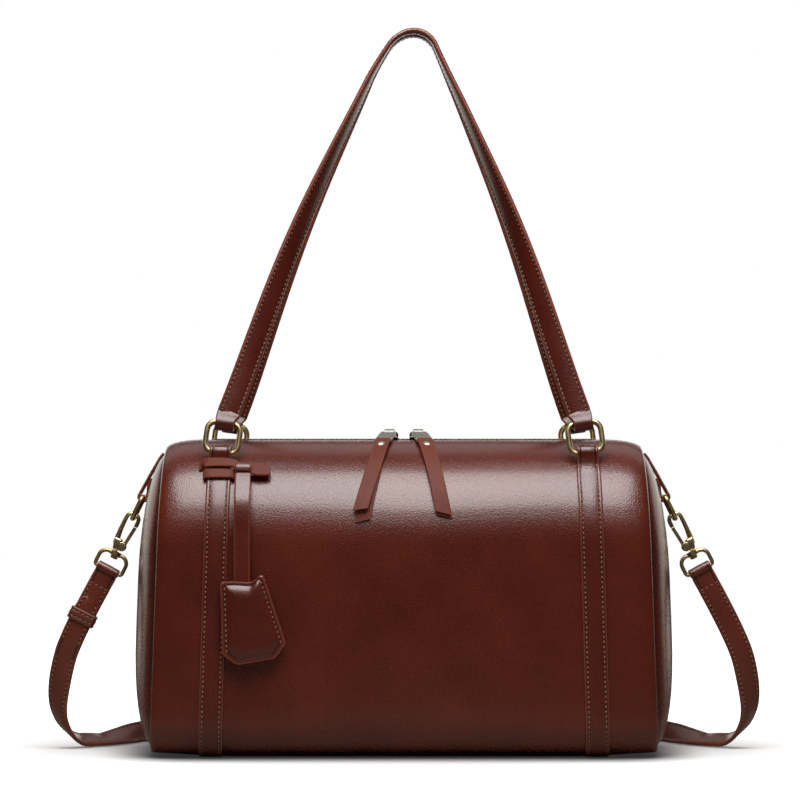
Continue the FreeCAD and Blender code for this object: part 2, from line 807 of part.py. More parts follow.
def side_tab():
    half = size("side_tab_width") / 2
    wall = size("side_tab_wall")
    inner = []
    outer = []
    for step in range(9):
        angle = size("side_tab_start") + (size("side_tab_end") - size("side_tab_start")) * step / 8
        point, normal = end_meridian(angle)
        inner.append(point + normal * gap)
        outer.insert(0, point + normal * (gap + wall))
    corners = inner + outer
    face = Part.Face(Part.makePolygon(corners + [corners[0]]))
    face.translate(Vector(0, -half, 0))
    strip = face.extrude(Vector(0, 2 * half, 0))
    along_y = Vector(0, 1, 0)
    loop = Part.makeCylinder(dee_loop, 2 * half, dee_bar - along_y * half, along_y)
    hole = Part.makeCylinder(dee_bore, 4 * half, dee_bar - along_y * 2 * half, along_y)
    return strip.fuse(loop).cut(hole).removeSplitter()


# The clip's own frame: up runs along its chain to the D-ring, and its origin is the foot of the hook.
hook_radius = size("hook_wire") / 2
crook = size("hook_crook_radius")
crook_level = size("hook_base_length") + size("hook_arm")
bow_level = crook_level + crook - hook_radius - size("hook_play") - dee_radius
bar_level = bow_level + size("dee_height")
clip_turn = Rotation(Vector(0, 1, 0), -size("clip_angle"))
clip_foot = dee_bar - clip_turn.multVec(Vector(0, 0, bar_level))
clip_place = Placement(clip_foot, clip_turn)
quarter = Rotation(Vector(0, 0, 1), 90)
boss_low = -size("hook_play") - size("boss_height")
swivel_radius = size("swivel_wire") / 2
swivel_top = boss_low + size("boss_height") / 2
swivel_bar_level = swivel_top - size("swivel_height")
strap_bar = clip_place.multVec(Vector(0, 0, swivel_bar_level))


def d_ring():
    width = size("dee_inner_width") + size("dee_wire")
    ring = rounded_ring(width, size("dee_height"), size("dee_bow_corner"), size("dee_bar_corner"), dee_radius)
    ring.Placement = clip_place.multiply(Placement(Vector(0, 0, bow_level), quarter))
    return ring


def hook():
    """The snap hook: a base with a slot for the gate, a crook over the D-ring and a headed post below."""
    base = size("hook_base_length")
    width = size("hook_base_width")
    depth = size("hook_base_depth")
    block = Part.makeBox(width, depth, base, Vector(crook + hook_radius - width, -depth / 2, 0))
    edges = [
        line(Vector(crook, 0, base - hook_radius), Vector(crook, 0, crook_level)),
        arc(Vector(crook, 0, crook_level), Vector(0, 0, crook_level + crook), Vector(-crook, 0, crook_level)),
        line(Vector(-crook, 0, crook_level), Vector(-crook, 0, gate_top + size("hook_play"))),
    ]
    profile = Part.Wire(Part.makeCircle(hook_radius, Vector(crook, 0, base - hook_radius), Vector(0, 0, 1)))
    wire = Part.Wire(edges).makePipeShell([profile], True, False)
    slot_half = size("gate_wire") / 2 + size("hook_play")
    slot = Part.makeBox(
        width,
        2 * slot_half,
        base,
        Vector(gate_pivot.x + size("gate_wire") - width, -slot_half, gate_pivot.z - size("gate_wire")),
    )
    down = Vector(0, 0, -1)
    post_length = -boss_low + size("hook_play")
    post = Part.makeCylinder(size("post_radius"), post_length, Vector(0, 0, 0), down)
    head = Part.makeCylinder(size("post_head"), size("post_head") * 0.7, Vector(0, 0, -post_length), down)
    whole = block.cut(slot).fuse([wire, post, head])
    pin = Part.makeCylinder(size("gate_pin_radius"), depth, gate_pivot - Vector(0, depth / 2, 0), Vector(0, 1, 0))
    whole = whole.cut(pin).removeSplitter()
    whole.Placement = clip_place
    return whole


gate_pivot = Vector(hook_radius - crook, 0, size("gate_pivot_height"))
gate_top = crook_level - crook


def gate():
    half = size("gate_wire") / 2
    along_y = Vector(0, 1, 0)
    eye = Part.makeCylinder(size("gate_wire") * 0.75, 2 * half, gate_pivot - along_y * half, along_y)
    tip = Vector(-crook, 0, gate_top)
    rows = []
    for point in (gate_pivot, tip):
        rows.append((point, Vector(half, 0, 0), Vector(0, half, 0)))
    bar = ribbon(rows)
    hole = Part.makeCylinder(
        size("gate_pin_radius") + size("post_clearance"), 4 * half, gate_pivot - along_y * 2 * half, along_y
    )
    shape = bar.fuse(eye).cut(hole).removeSplitter()
    shape.Placement = clip_place
    return shape


def gate_pin():
    depth = size("hook_base_depth")
    pin = Part.makeCylinder(size("gate_pin_radius"), depth, gate_pivot - Vector(0, depth / 2, 0), Vector(0, 1, 0))
    pin.Placement = clip_place
    return pin


def swivel_loop():
    """A rounded loop that faces the front, whose boss turns on the hook's post."""
    width = size("swivel_inner_width") + size("swivel_wire")
    ring = rounded_ring(width, size("swivel_height"), size("swivel_corner"), size("swivel_shoulder"), swivel_radius)
    ring.translate(Vector(0, 0, swivel_bar_level))
    boss = Part.makeCylinder(size("boss_radius"), size("boss_height"), Vector(0, 0, boss_low))
    hole_radius = size("post_radius") + size("post_clearance")
    hole = Part.makeCylinder(hole_radius, 3 * size("boss_height"), Vector(0, 0, boss_low - size("boss_height")))
    shape = ring.fuse(boss).cut(hole).removeSplitter()
    shape.Placement = clip_place
    return shape


for side, name in ((-1, "left"), (1, "right")):
    for label, shape in (
        ("side_tab", side_tab()),
        ("d_ring", d_ring()),
        ("hook", hook()),
        ("hook_gate", gate()),
        ("gate_pin", gate_pin()),
        ("swivel_loop", swivel_loop()),
    ):
        solid_piece(label + "_" + name, mirrored_x(shape) if side < 0 else shape)


# The crossbody strap hangs from both clips to the floor, turns on its edge and lies round the back of the bag.
cross_half = size("cross_width") / 2
cross_wall = size("cross_wall")
cross_bore = swivel_radius + size("hook_play")
cross_loop = cross_bore + size("cross_loop_wall")
strap_fall = clip_turn.multVec(Vector(0, 0, -1))

# Right half of the route: a point, and the way that the strap's outer face looks there.
ROUTE = [
    (strap_bar + strap_fall * 48, Vector(0.0, -1.0, 0.0)),
    (Vector(221, 5, 45), Vector(0.20, -1.0, 0.0)),
    (Vector(223, 12, 22), Vector(0.75, -0.75, 0.0)),
    (Vector(213, 24, 5), Vector(0.75, -0.10, -0.60)),
    (Vector(194, 42, 3), Vector(0.20, 0.35, -0.90)),
    (Vector(176, 66, 8), Vector(0.35, 0.75, -0.45)),
    (Vector(148, 96, 8), Vector(0.55, 0.85, -0.05)),
    (Vector(100, 128, 8), Vector(0.40, 0.92, 0.0)),
    (Vector(36, 147, 8), Vector(0.12, 1.0, 0.0)),
]


def flipped(vector):
    return Vector(-vector.x, vector.y, vector.z)


def rounded_route(points):
    """Places and runs along straight stretches joined by arcs as large as the shorter stretch allows."""
    rows = [(points[0], (points[1] - points[0]).normalize())]
    for before, corner, after in zip(points, points[1:], points[2:]):
        back = before - corner
        ahead = after - corner
        cut = 0.45 * min(back.Length, ahead.Length)
        start = corner + back.normalize() * cut
        end = corner + ahead.normalize() * cut
        turn = math.pi - back.getAngle(ahead)
        radius = cut / math.tan(turn / 2)
        inward = (back + ahead).normalize()
        centre = corner + inward * (radius / math.cos(turn / 2))
        for share in (0.0, 1 / 3, 2 / 3, 1.0):
            blend = (start - centre) * math.sin((1 - share) * turn) + (end - centre) * math.sin(share * turn)
            run = (-back) * math.sin((1 - share) * turn) + ahead * math.sin(share * turn)
            rows.append((centre + blend.normalize() * radius, run.normalize()))
    rows.append((points[-1], (points[-1] - points[-2]).normalize()))
    return rows


def cross_rows():
    """The whole strap's rectangles from the left clip to the right, and the faces' outward vectors."""
    right = [(strap_bar, Vector(0, -1, 0))] + ROUTE
    marks = [(flipped(point), flipped(face)) for point, face in right] + list(reversed(right))
    points = [point for point, face in marks]
    rows = []
    for point, run in rounded_route(points):
        near = sorted(range(len(marks)), key=lambda index: (points[index] - point).Length)[:2]
        first, second = (marks[index] for index in near)
        reach_first = (first[0] - point).Length
        reach_second = (second[0] - point).Length
        face = first[1] * reach_second + second[1] * reach_first
        face = (face - run * face.dot(run)).normalize()
        across = run.cross(face)
        least = cross_half * abs(across.z) + cross_wall / 2 * abs(face.z) + gap
        place = Vector(point.x, point.y, max(point.z, least))
        rows.append((place, across * cross_half, face * (cross_wall / 2)))
    return rows


strap_rows = cross_rows()
count = len(strap_rows)
join = next(index for index, row in enumerate(strap_rows) if row[0].x > -150 and row[0].y > 60)
start_shift = 0.75 * cross_loop


def strap_end(rows):
    """A hanging stretch of the strap, folded round the bar of its clip."""
    first, across, up = rows[0]
    fall = (rows[1][0] - first).normalize()
    rows = [(first + fall * start_shift, across, up)] + rows[1:]
    strip = ribbon(rows)
    loop = Part.makeCylinder(cross_loop, 2 * cross_half, first - across, across)
    hole = Part.makeCylinder(cross_bore, 4 * cross_half, first - across * 2, across)
    return strip.fuse(loop).cut(hole).removeSplitter()


solid_piece("crossbody_strap_left", strap_end(strap_rows[: join + 1]))
solid_piece("crossbody_strap_right", strap_end(list(reversed(strap_rows[count - join - 1 :]))))
solid_piece("crossbody_strap_back", ribbon(strap_rows[join : count - join]))

# On the left the strap's end comes up over itself, and a keeper holds it under its rounded tip.
fall_left = flipped(strap_fall)
across_left = fall_left.cross(Vector(0, -1, 0))
tongue_start = flipped(strap_bar) + fall_left * size("tongue_tip")
tongue_level = -(cross_wall / 2 + gap + size("tongue_wall") / 2)


def tongue():
    rows = []
    for along, width in ((0.0, 0.35), (0.05, 0.62), (0.16, 0.90), (0.30, 1.0), (1.0, 1.0)):
        middle = tongue_start + fall_left * (along * size("tongue_length")) + Vector(0, tongue_level, 0)
        rows.append((middle, across_left * (cross_half * width), Vector(0, -size("tongue_wall") / 2, 0)))
    return ribbon(rows)


def keeper():
    """A band round the strap and its tongue."""
    room = cross_wall + gap + size("tongue_wall") + 2 * gap
    middle_y = -(gap + size("tongue_wall")) / 2
    near = tongue_start + fall_left * size("keeper_place") + Vector(0, middle_y, 0)
    bands = []
    for wall in (size("keeper_wall"), 0.0):
        across = across_left * (cross_half + gap + wall)
        up = Vector(0, -room / 2 - wall, 0)
        spare = 0.0 if wall else 1.0
        ends = (near - fall_left * spare, near + fall_left * (size("keeper_width") + spare))
        bands.append(ribbon([(point, across, up) for point in ends]))
    return bands[0].cut(bands[1])


solid_piece("strap_tongue", tongue())
solid_piece("strap_keeper", keeper())


# The key bell: a band on the front left strap, a thong that swings from it and two sewn leaves that slide on it.
def shoulder_slab(low, high, start_deg, end_deg, left, right):
    """A block that follows the shoulder, between two heights over the leather and two angles."""
    inner, inner_start, inner_end = corner_arc(shoulder_centre, shoulder + low, 180 - start_deg, 180 - end_deg)
    outer, outer_start, outer_end = corner_arc(shoulder_centre, shoulder + high, 180 - start_deg, 180 - end_deg)
    ends = [line(inner_start, outer_start), line(inner_end, outer_end)]
    face = Part.Face(Part.Wire(Part.__sortEdges__([inner, outer] + ends)))
    face.translate(Vector(left, 0, 0))
    return face.extrude(Vector(right - left, 0, 0))


band_angle = size("band_middle_angle")
band_half = size("band_span_angle") / 2
band_wall = size("band_wall")
strap_out = gap + size("strap_wall")
eye_radius = size("thong_bore") + size("thong_wall")
eye_level = gap + eye_radius
eye_reach = math.radians(180 - band_angle)
eye_centre = shoulder_centre + Vector(0, math.cos(eye_reach), math.sin(eye_reach)) * (shoulder + eye_level)
strap_slope = (size("strap_spread_base") - size("strap_spread_top")) / 2 / lower_bar.z
strap_x = -size("strap_spread_top") / 2 - strap_slope * (lower_bar.z - eye_centre.z)
band_left = strap_x - size("strap_width") / 2 - 2 * gap
band_right = strap_x + size("strap_width") / 2 + 2 * gap
thong_left = band_right + band_wall + 2 * gap
thong_right = thong_left + size("thong_width")
thong_x = (thong_left + thong_right) / 2


def span_angle(width):
    return math.degrees(width / 2 / (shoulder + eye_level))


def key_band():
    """A flat band over the strap, tucked in on both sides, with a tail that ends in a wide toggle."""
    top = strap_out + gap + band_wall
    near, far = band_angle - band_half, band_angle + band_half
    over = shoulder_slab(strap_out + gap, top, near, far, band_left - band_wall, band_right + band_wall)
    sides = []
    for left in (band_left - band_wall, band_right):
        sides.append(shoulder_slab(gap, top, near, far, left, left + band_wall))
    tail_low = eye_level - band_wall / 2
    tail_high = eye_level + band_wall / 2
    narrow = span_angle(size("tail_width"))
    wide = span_angle(size("toggle_width"))
    tail = shoulder_slab(
        tail_low, tail_high, band_angle - narrow, band_angle + narrow, band_right, thong_right + 2 * gap
    )
    toggle_left = thong_right + gap
    toggle = shoulder_slab(
        tail_low, tail_high, band_angle - wide, band_angle + wide, toggle_left, toggle_left + size("toggle_length")
    )
    return over.fuse(sides + [tail, toggle]).removeSplitter()


bell_back_y = half_depth + strap_out + 2 * gap
bell_leaf = size("bell_wall") + size("bell_room") / 2
thong_y = -(bell_back_y + bell_leaf + gap / 2)
ring_play = size("key_ring_radius") - math.sqrt(size("key_ring_radius") ** 2 - (size("key_eye_width") / 2) ** 2)
key_bore = size("key_ring_wire") / 2 + ring_play + gap / 2


def key_thong():
    """The thong: an eye on the band's tail, a strip over the shoulder, and a small eye for the key ring."""
    along_x = Vector(1, 0, 0)
    wall = size("thong_wall") / 2
    half = size("thong_width") / 2
    lie = shoulder + 2 * gap + wall
    path = []
    for angle_deg in (band_angle, band_angle - 5):
        angle = math.radians(180 - angle_deg)
        path.append(shoulder_centre + Vector(0, math.cos(angle), math.sin(angle)) * lie)
    hang = size("body_height") - size("thong_drop")
    path += [Vector(0, thong_y + 0.6, hang + 6), Vector(0, thong_y, hang)]
    path.append(Vector(0, thong_y, hang - 2 * size("thong_wall")))
    path.append(Vector(0, thong_y, size("thong_end")))
    rows = []
    for index, point in enumerate(path):
        run = path[min(index + 1, len(path) - 1)] - path[max(index - 1, 0)]
        up = Vector(0, run.z, -run.y).normalize()
        rows.append((point + Vector(thong_x, 0, 0), along_x * half, up * wall))
    strip = ribbon(rows)
    eye = Part.makeCylinder(eye_radius, 2 * half, eye_centre + Vector(thong_left, 0, 0), along_x)
    hole = Part.makeCylinder(size("thong_bore"), 4 * half, eye_centre + Vector(thong_left - half, 0, 0), along_x)
    small = Vector(thong_x - size("key_eye_width") / 2, thong_y, size("thong_end"))
    key_eye = Part.makeCylinder(key_bore + 0.6 * size("thong_wall"), size("key_eye_width"), small, along_x)
    key_hole = Part.makeCylinder(key_bore, 4 * half, small - along_x * 2 * half, along_x)
    return strip.fuse([eye, key_eye]).cut([hole, key_hole]).removeSplitter()


def bell_leaf_shape(front):
    """One leaf of the bell: a tray with sewn sides, open at the foot, and a slot at the top for the thong."""
    top = size("bell_foot") + size("bell_height")
    half_top = size("bell_top_width") / 2
    half_base = size("bell_base_width") / 2
    corner = size("bell_corner")
    foot = size("bell_foot")
    outline = [
        Vector(-half_top, 0, top),
        Vector(half_top, 0, top),
        Vector(half_base, 0, foot + corner),
        Vector(half_base - corner, 0, foot),
        Vector(corner - half_base, 0, foot),
        Vector(-half_base, 0, foot + corner),
    ]
    plate = Part.Face(Part.makePolygon(outline + [outline[0]])).extrude(Vector(0, -bell_leaf, 0))
    seam = size("bell_seam")
    low = foot - 1.0
    room = [
        Vector(seam - half_top, 0, top - seam),
        Vector(half_top - seam, 0, top - seam),
        Vector(half_base - seam, 0, foot + corner),
        Vector(half_base - seam, 0, low),
        Vector(seam - half_base, 0, low),
        Vector(seam - half_base, 0, foot + corner),
    ]
    depth = size("bell_room") / 2
    hollow = Part.Face(Part.makePolygon(room + [room[0]])).extrude(Vector(0, -depth, 0))
    tilt = math.radians(size("bell_tilt"))
    slot_half = size("thong_width") / 2 / math.cos(tilt) + 1.5 * seam * math.tan(tilt) + 2 * gap
    slot_depth = size("thong_wall") / 2 + 2 * gap
    slot = Part.makeBox(2 * slot_half, slot_depth, 2 * seam, Vector(-slot_half, -slot_depth, top - 1.5 * seam))
    leaf = plate.cut(hollow.fuse(slot)).removeSplitter()
    if not front:
        leaf = mirrored_y(leaf)
    leaf.rotate(Vector(0, 0, top), Vector(0, 1, 0), -size("bell_tilt"))
    shift = thong_y - gap / 2 if front else thong_y + gap / 2
    leaf.translate(Vector(thong_x, shift, 0))
    return leaf


solid_piece("key_band", key_band())
solid_piece("key_thong", key_thong())
solid_piece("bell_front", bell_leaf_shape(True))
solid_piece("bell_back", bell_leaf_shape(False))
key_ring = doc.addObject("Part::Torus", "key_torus")
key_ring.setExpression("Radius1", cells("key_ring_radius"))
key_ring.setExpression("Radius2", cells("key_ring_wire / 2"))
ring_drop = size("key_ring_radius") - ring_play / 2
key_ring.Placement = Placement(
    Vector(thong_x, thong_y, size("thong_end") - ring_drop), Rotation(Vector(1, 0, 0), 90)
)
keep(key_ring, "key_ring")


def write_out():
    """Checks every object and writes each sub-part to its own file."""
    doc.recompute()
    for obj in doc.Objects:
        if "Invalid" in obj.State or "Error" in obj.State:
            raise RuntimeError(obj.Label + " failed: " + str(obj.State))
    for obj in sub_parts:
        if obj.Shape.isNull() or not obj.Shape.isValid():
            raise RuntimeError(obj.Label + " has no valid shape")
    os.makedirs("parts", exist_ok=True)
    for obj in sub_parts:
        obj.Shape.exportStep("parts/" + obj.Label + ".step")


write_out()
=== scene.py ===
"""The barrel bag dressed for the camera: leather skins, sewn straps, brass fittings, studio light and camera."""

import math

import bmesh
import bpy
from mathutils import Matrix, Vector, noise
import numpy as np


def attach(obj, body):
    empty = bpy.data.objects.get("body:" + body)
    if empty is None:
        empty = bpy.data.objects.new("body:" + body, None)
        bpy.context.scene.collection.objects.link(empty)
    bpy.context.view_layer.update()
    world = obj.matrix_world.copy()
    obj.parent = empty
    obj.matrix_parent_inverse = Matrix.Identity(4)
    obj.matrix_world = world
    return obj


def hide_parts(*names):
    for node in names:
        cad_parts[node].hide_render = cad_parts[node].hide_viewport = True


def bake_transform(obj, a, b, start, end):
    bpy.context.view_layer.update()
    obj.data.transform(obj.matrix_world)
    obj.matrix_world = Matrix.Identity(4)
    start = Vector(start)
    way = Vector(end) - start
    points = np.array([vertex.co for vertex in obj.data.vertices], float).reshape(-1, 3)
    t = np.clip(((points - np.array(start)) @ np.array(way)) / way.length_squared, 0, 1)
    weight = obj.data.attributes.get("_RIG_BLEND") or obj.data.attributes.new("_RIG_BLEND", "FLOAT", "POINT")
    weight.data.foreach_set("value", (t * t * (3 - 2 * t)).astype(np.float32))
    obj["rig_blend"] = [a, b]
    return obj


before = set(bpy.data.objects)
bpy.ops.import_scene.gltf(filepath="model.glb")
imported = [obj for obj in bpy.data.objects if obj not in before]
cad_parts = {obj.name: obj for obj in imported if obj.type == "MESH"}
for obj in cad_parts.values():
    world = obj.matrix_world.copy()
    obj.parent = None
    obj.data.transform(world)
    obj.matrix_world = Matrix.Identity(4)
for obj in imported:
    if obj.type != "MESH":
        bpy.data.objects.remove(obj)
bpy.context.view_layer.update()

MM = 0.001

# The body's measures, in millimetres, as the solids have them.
BASE_LENGTH, TOP_LENGTH, HEIGHT, DEPTH = 316.0, 302.0, 199.0, 150.0
TOP_HALF, HEEL, LEATHER, GAP = 9.0, 22.0, 2.0, 0.2
END_DROP, END_LIFT, END_DRAW, END_ROUND = 5.5, 1.0, 4.0, 24.0
END_BULGE, END_SEAT = 15.0, 3.0
ZIP_HALF, PANEL_EDGE = 8.0, 40.0
UNDERSIDE = LEATHER + GAP
SHOULDER = DEPTH / 2 - TOP_HALF
SHOULDER_CENTRE = Vector((0, -TOP_HALF, HEIGHT - SHOULDER))
TAPER = math.atan((BASE_LENGTH - TOP_LENGTH) / 2 / HEIGHT)
STRAP_WIDTH, STRAP_WALL = 15.0, 2.0
LOWER_BAR = Vector((115.0, -52.0004, 190.0635))
UPPER_BAR = Vector((112.3000, -48.9951, 209.0382))
RING_BAR = Vector((0.990268, 0.021771, 0.137459))
STITCH_STEP = 3.1
SIDES = ((-1, "left"), (1, "right"))
UP = Vector((0, 0, 1))


def clamp(value, low=0.0, high=1.0):
    return max(low, min(high, value))


# Materials


def node_group(name, inputs, outputs):
    """An empty shader node group with named sockets, and its input and output nodes."""
    group = bpy.data.node_groups.new(name, "ShaderNodeTree")
    for label, kind, value in inputs:
        socket = group.interface.new_socket(label, in_out="INPUT", socket_type=kind)
        if value is not None:
            socket.default_value = value
    for label, kind in outputs:
        group.interface.new_socket(label, in_out="OUTPUT", socket_type=kind)
    return group, group.nodes.new("NodeGroupInput"), group.nodes.new("NodeGroupOutput")


def add(tree, kind, **settings):
    node = tree.nodes.new(kind)
    for key, value in settings.items():
        setattr(node, key, value)
    return node


def ramp(tree, source, low, high, low_value=0.0, high_value=1.0):
    """A Map Range node that turns one span of a value into another."""
    node = add(tree, "ShaderNodeMapRange")
    node.inputs["From Min"].default_value = low
    node.inputs["From Max"].default_value = high
    node.inputs["To Min"].default_value = low_value
    node.inputs["To Max"].default_value = high_value
    tree.links.new(source, node.inputs["Value"])
    return node.outputs["Result"]


def leather_group():
    """Fine pebbled grain over soft pulls in the hide: colour, roughness and height."""
    group, given, made = node_group(
        "hide",
        [
            ("Deep", "NodeSocketColor", (0.02, 0.008, 0.006, 1)),
            ("Light", "NodeSocketColor", (0.06, 0.024, 0.018, 1)),
            ("Grain", "NodeSocketFloat", 900.0),
            ("Gloss", "NodeSocketFloat", 0.3),
        ],
        [("Color", "NodeSocketColor"), ("Roughness", "NodeSocketFloat"), ("Height", "NodeSocketFloat")],
    )
    place = add(group, "ShaderNodeTexCoord")
    pebble = add(group, "ShaderNodeTexVoronoi", feature="SMOOTH_F1")
    pebble.inputs["Smoothness"].default_value = 0.6
    pull = add(group, "ShaderNodeTexNoise")
    pull.inputs["Scale"].default_value = 26.0
    pull.inputs["Detail"].default_value = 3.0
    pore = add(group, "ShaderNodeTexNoise")
    pore.inputs["Detail"].default_value = 2.0
    for node in (pebble, pull, pore):
        group.links.new(place.outputs["Object"], node.inputs["Vector"])
    group.links.new(given.outputs["Grain"], pebble.inputs["Scale"])
    group.links.new(given.outputs["Grain"], pore.inputs["Scale"])
    tone = add(group, "ShaderNodeMix", data_type="RGBA")
    group.links.new(ramp(group, pull.outputs["Fac"], 0.3, 0.7), tone.inputs["Factor"])
    group.links.new(given.outputs["Deep"], tone.inputs["A"])
    group.links.new(given.outputs["Light"], tone.inputs["B"])
    group.links.new(tone.outputs["Result"], made.inputs["Color"])
    spread = ramp(group, pore.outputs["Fac"], 0.3, 0.7, -0.05, 0.06)
    gloss = add(group, "ShaderNodeMath", operation="ADD")
    group.links.new(given.outputs["Gloss"], gloss.inputs[0])
    group.links.new(spread, gloss.inputs[1])
    group.links.new(gloss.outputs["Value"], made.inputs["Roughness"])
    high = add(group, "ShaderNodeMath", operation="MULTIPLY_ADD")
    group.links.new(pull.outputs["Fac"], high.inputs[0])
    high.inputs[1].default_value = 0.2
    group.links.new(pebble.outputs["Distance"], high.inputs[2])
    group.links.new(high.outputs["Value"], made.inputs["Height"])
    return group


def metal_group():
    """Tarnish in the hollows of a cast or drawn metal: colour and roughness."""
    group, given, made = node_group(
        "tarnish",
        [
            ("Bright", "NodeSocketColor", (0.6, 0.45, 0.2, 1)),
            ("Dull", "NodeSocketColor", (0.3, 0.2, 0.08, 1)),
            ("Gloss", "NodeSocketFloat", 0.2),
        ],
        [("Color", "NodeSocketColor"), ("Roughness", "NodeSocketFloat")],
    )
    place = add(group, "ShaderNodeTexCoord")
    cloud = add(group, "ShaderNodeTexNoise")
    cloud.inputs["Scale"].default_value = 160.0
    cloud.inputs["Detail"].default_value = 4.0
    group.links.new(place.outputs["Object"], cloud.inputs["Vector"])
    tone = add(group, "ShaderNodeMix", data_type="RGBA")
    group.links.new(ramp(group, cloud.outputs["Fac"], 0.42, 0.68), tone.inputs["Factor"])
    group.links.new(given.outputs["Bright"], tone.inputs["A"])
    group.links.new(given.outputs["Dull"], tone.inputs["B"])
    group.links.new(tone.outputs["Result"], made.inputs["Color"])
    rough = add(group, "ShaderNodeMath", operation="ADD")
    group.links.new(given.outputs["Gloss"], rough.inputs[0])
    group.links.new(ramp(group, cloud.outputs["Fac"], 0.35, 0.7, 0.0, 0.18), rough.inputs[1])
    group.links.new(rough.outputs["Value"], made.inputs["Roughness"])
    return group


def weave_group():
    """Two crossed sets of threads: colour and height."""
    group, given, made = node_group(
        "weave",
        [
            ("Warp", "NodeSocketColor", (0.05, 0.03, 0.02, 1)),
            ("Weft", "NodeSocketColor", (0.03, 0.02, 0.015, 1)),
            ("Threads", "NodeSocketFloat", 900.0),
        ],
        [("Color", "NodeSocketColor"), ("Height", "NodeSocketFloat")],
    )
    place = add(group, "ShaderNodeTexCoord")
    waves = []
    for direction in ("X", "DIAGONAL"):
        wave = add(group, "ShaderNodeTexWave", bands_direction=direction)
        group.links.new(place.outputs["Object"], wave.inputs["Vector"])
        group.links.new(given.outputs["Threads"], wave.inputs["Scale"])
        waves.append(wave.outputs["Fac"])
    high = add(group, "ShaderNodeMath", operation="MULTIPLY")
    group.links.new(waves[0], high.inputs[0])
    group.links.new(waves[1], high.inputs[1])
    tone = add(group, "ShaderNodeMix", data_type="RGBA")
    group.links.new(high.outputs["Value"], tone.inputs["Factor"])
    group.links.new(given.outputs["Weft"], tone.inputs["A"])
    group.links.new(given.outputs["Warp"], tone.inputs["B"])
    group.links.new(tone.outputs["Result"], made.inputs["Color"])
    group.links.new(high.outputs["Value"], made.inputs["Height"])
    return group


HIDE, TARNISH, WEAVE = leather_group(), metal_group(), weave_group()


def finish_material(name, group, values, metallic=0.0, bump=0.0, depth=0.0, roughness=None, coat=0.0, coat_gloss=0.1):
    """A material with one Principled shader fed by a finish group."""
    material = bpy.data.materials.new(name)
    material.use_nodes = True
    tree = material.node_tree
    shader = tree.nodes["Principled BSDF"]
    shader.inputs["Metallic"].default_value = metallic
    shader.inputs["Coat Weight"].default_value = coat
    shader.inputs["Coat Roughness"].default_value = coat_gloss
    finish = add(tree, "ShaderNodeGroup", node_tree=group)
    for label, value in values.items():
        finish.inputs[label].default_value = value
    tree.links.new(finish.outputs["Color"], shader.inputs["Base Color"])
    if roughness is None:
        tree.links.new(finish.outputs["Roughness"], shader.inputs["Roughness"])
    else:
        shader.inputs["Roughness"].default_value = roughness
    if bump:
        dent = add(tree, "ShaderNodeBump")
        dent.inputs["Strength"].default_value = bump
        dent.inputs["Distance"].default_value = depth
        tree.links.new(finish.outputs["Height"], dent.inputs["Height"])
        tree.links.new(dent.outputs["Normal"], shader.inputs["Normal"])
    return material


def leather(name, deep, light, gloss, grain=1200.0, bump=0.25, rim=None, coat=0.5):
    """Finished hide; with a rim colour, the mesh's marks paint the cut edges (1) and paint shade into the stitch
    grooves and seams (-1).
    """
    values = {"Deep": (*deep, 1), "Light": (*light, 1), "Grain": grain, "Gloss": gloss}
    material = finish_material(name, HIDE, values, bump=bump, depth=0.0004, coat=coat, coat_gloss=0.2)
    if rim:
        tree = material.node_tree
        shader = tree.nodes["Principled BSDF"]
        hide = shader.inputs["Base Color"].links[0].from_socket
        marked = add(tree, "ShaderNodeAttribute", attribute_name="rim", attribute_type="GEOMETRY")
        painted = add(tree, "ShaderNodeMix", data_type="RGBA")
        tree.links.new(marked.outputs["Fac"], painted.inputs["Factor"])
        tree.links.new(hide, painted.inputs["A"])
        painted.inputs["B"].default_value = (*rim, 1)
        # Marks of -1 mix in a near-black painted shade for stitch grooves and seams.
        sunk = add(tree, "ShaderNodeMath", operation="MULTIPLY")
        sunk.inputs[1].default_value = -1.0
        tree.links.new(marked.outputs["Fac"], sunk.inputs[0])
        groove_shaded = add(tree, "ShaderNodeMix", data_type="RGBA")
        tree.links.new(sunk.outputs["Value"], groove_shaded.inputs["Factor"])
        tree.links.new(painted.outputs["Result"], groove_shaded.inputs["A"])
        groove_shaded.inputs["B"].default_value = PAINTED_GROOVE_SHADE
        tree.links.new(groove_shaded.outputs["Result"], shader.inputs["Base Color"])
    return material


def metal(name, bright, dull, gloss):
    return finish_material(name, TARNISH, {"Bright": (*bright, 1), "Dull": (*dull, 1), "Gloss": gloss}, metallic=1.0)


# The first colour is the cut edges' paint; the second is painted shade for stitch grooves and seams.
RIM, PAINTED_GROOVE_SHADE = (0.200, 0.050, 0.028), (0.016, 0.003, 0.0015, 1)
BODY_HIDE = leather("body_hide", (0.082, 0.0092, 0.0033), (0.112, 0.0149, 0.0060), 0.27, bump=0.4, rim=RIM)
STRAP_HIDE = leather("strap_hide", (0.073, 0.0078, 0.0028), (0.102, 0.0132, 0.0051), 0.30, bump=0.35, rim=RIM)
CROSS_HIDE = leather("cross_hide", (0.107, 0.0154, 0.0061), (0.146, 0.0250, 0.0107), 0.34, bump=0.35, rim=RIM)
TAG_HIDE = leather("tag_hide", (0.115, 0.0213, 0.0098), (0.152, 0.0328, 0.0161), 0.58, bump=0.3, rim=RIM, coat=0.0)
TAG_HIDE.node_tree.nodes["Principled BSDF"].inputs["Specular IOR Level"].default_value = 0.28
BRASS = metal("aged_brass", (0.83, 0.68, 0.37), (0.53, 0.40, 0.19), 0.25)
TOOTH_BRASS = metal("tooth_brass", (0.46, 0.31, 0.15), (0.25, 0.165, 0.08), 0.3)
NICKEL = metal("dark_nickel", (0.17, 0.162, 0.155), (0.09, 0.085, 0.082), 0.24)
SATIN_NICKEL = metal("satin_nickel", (0.50, 0.475, 0.41), (0.39, 0.365, 0.31), 0.36)
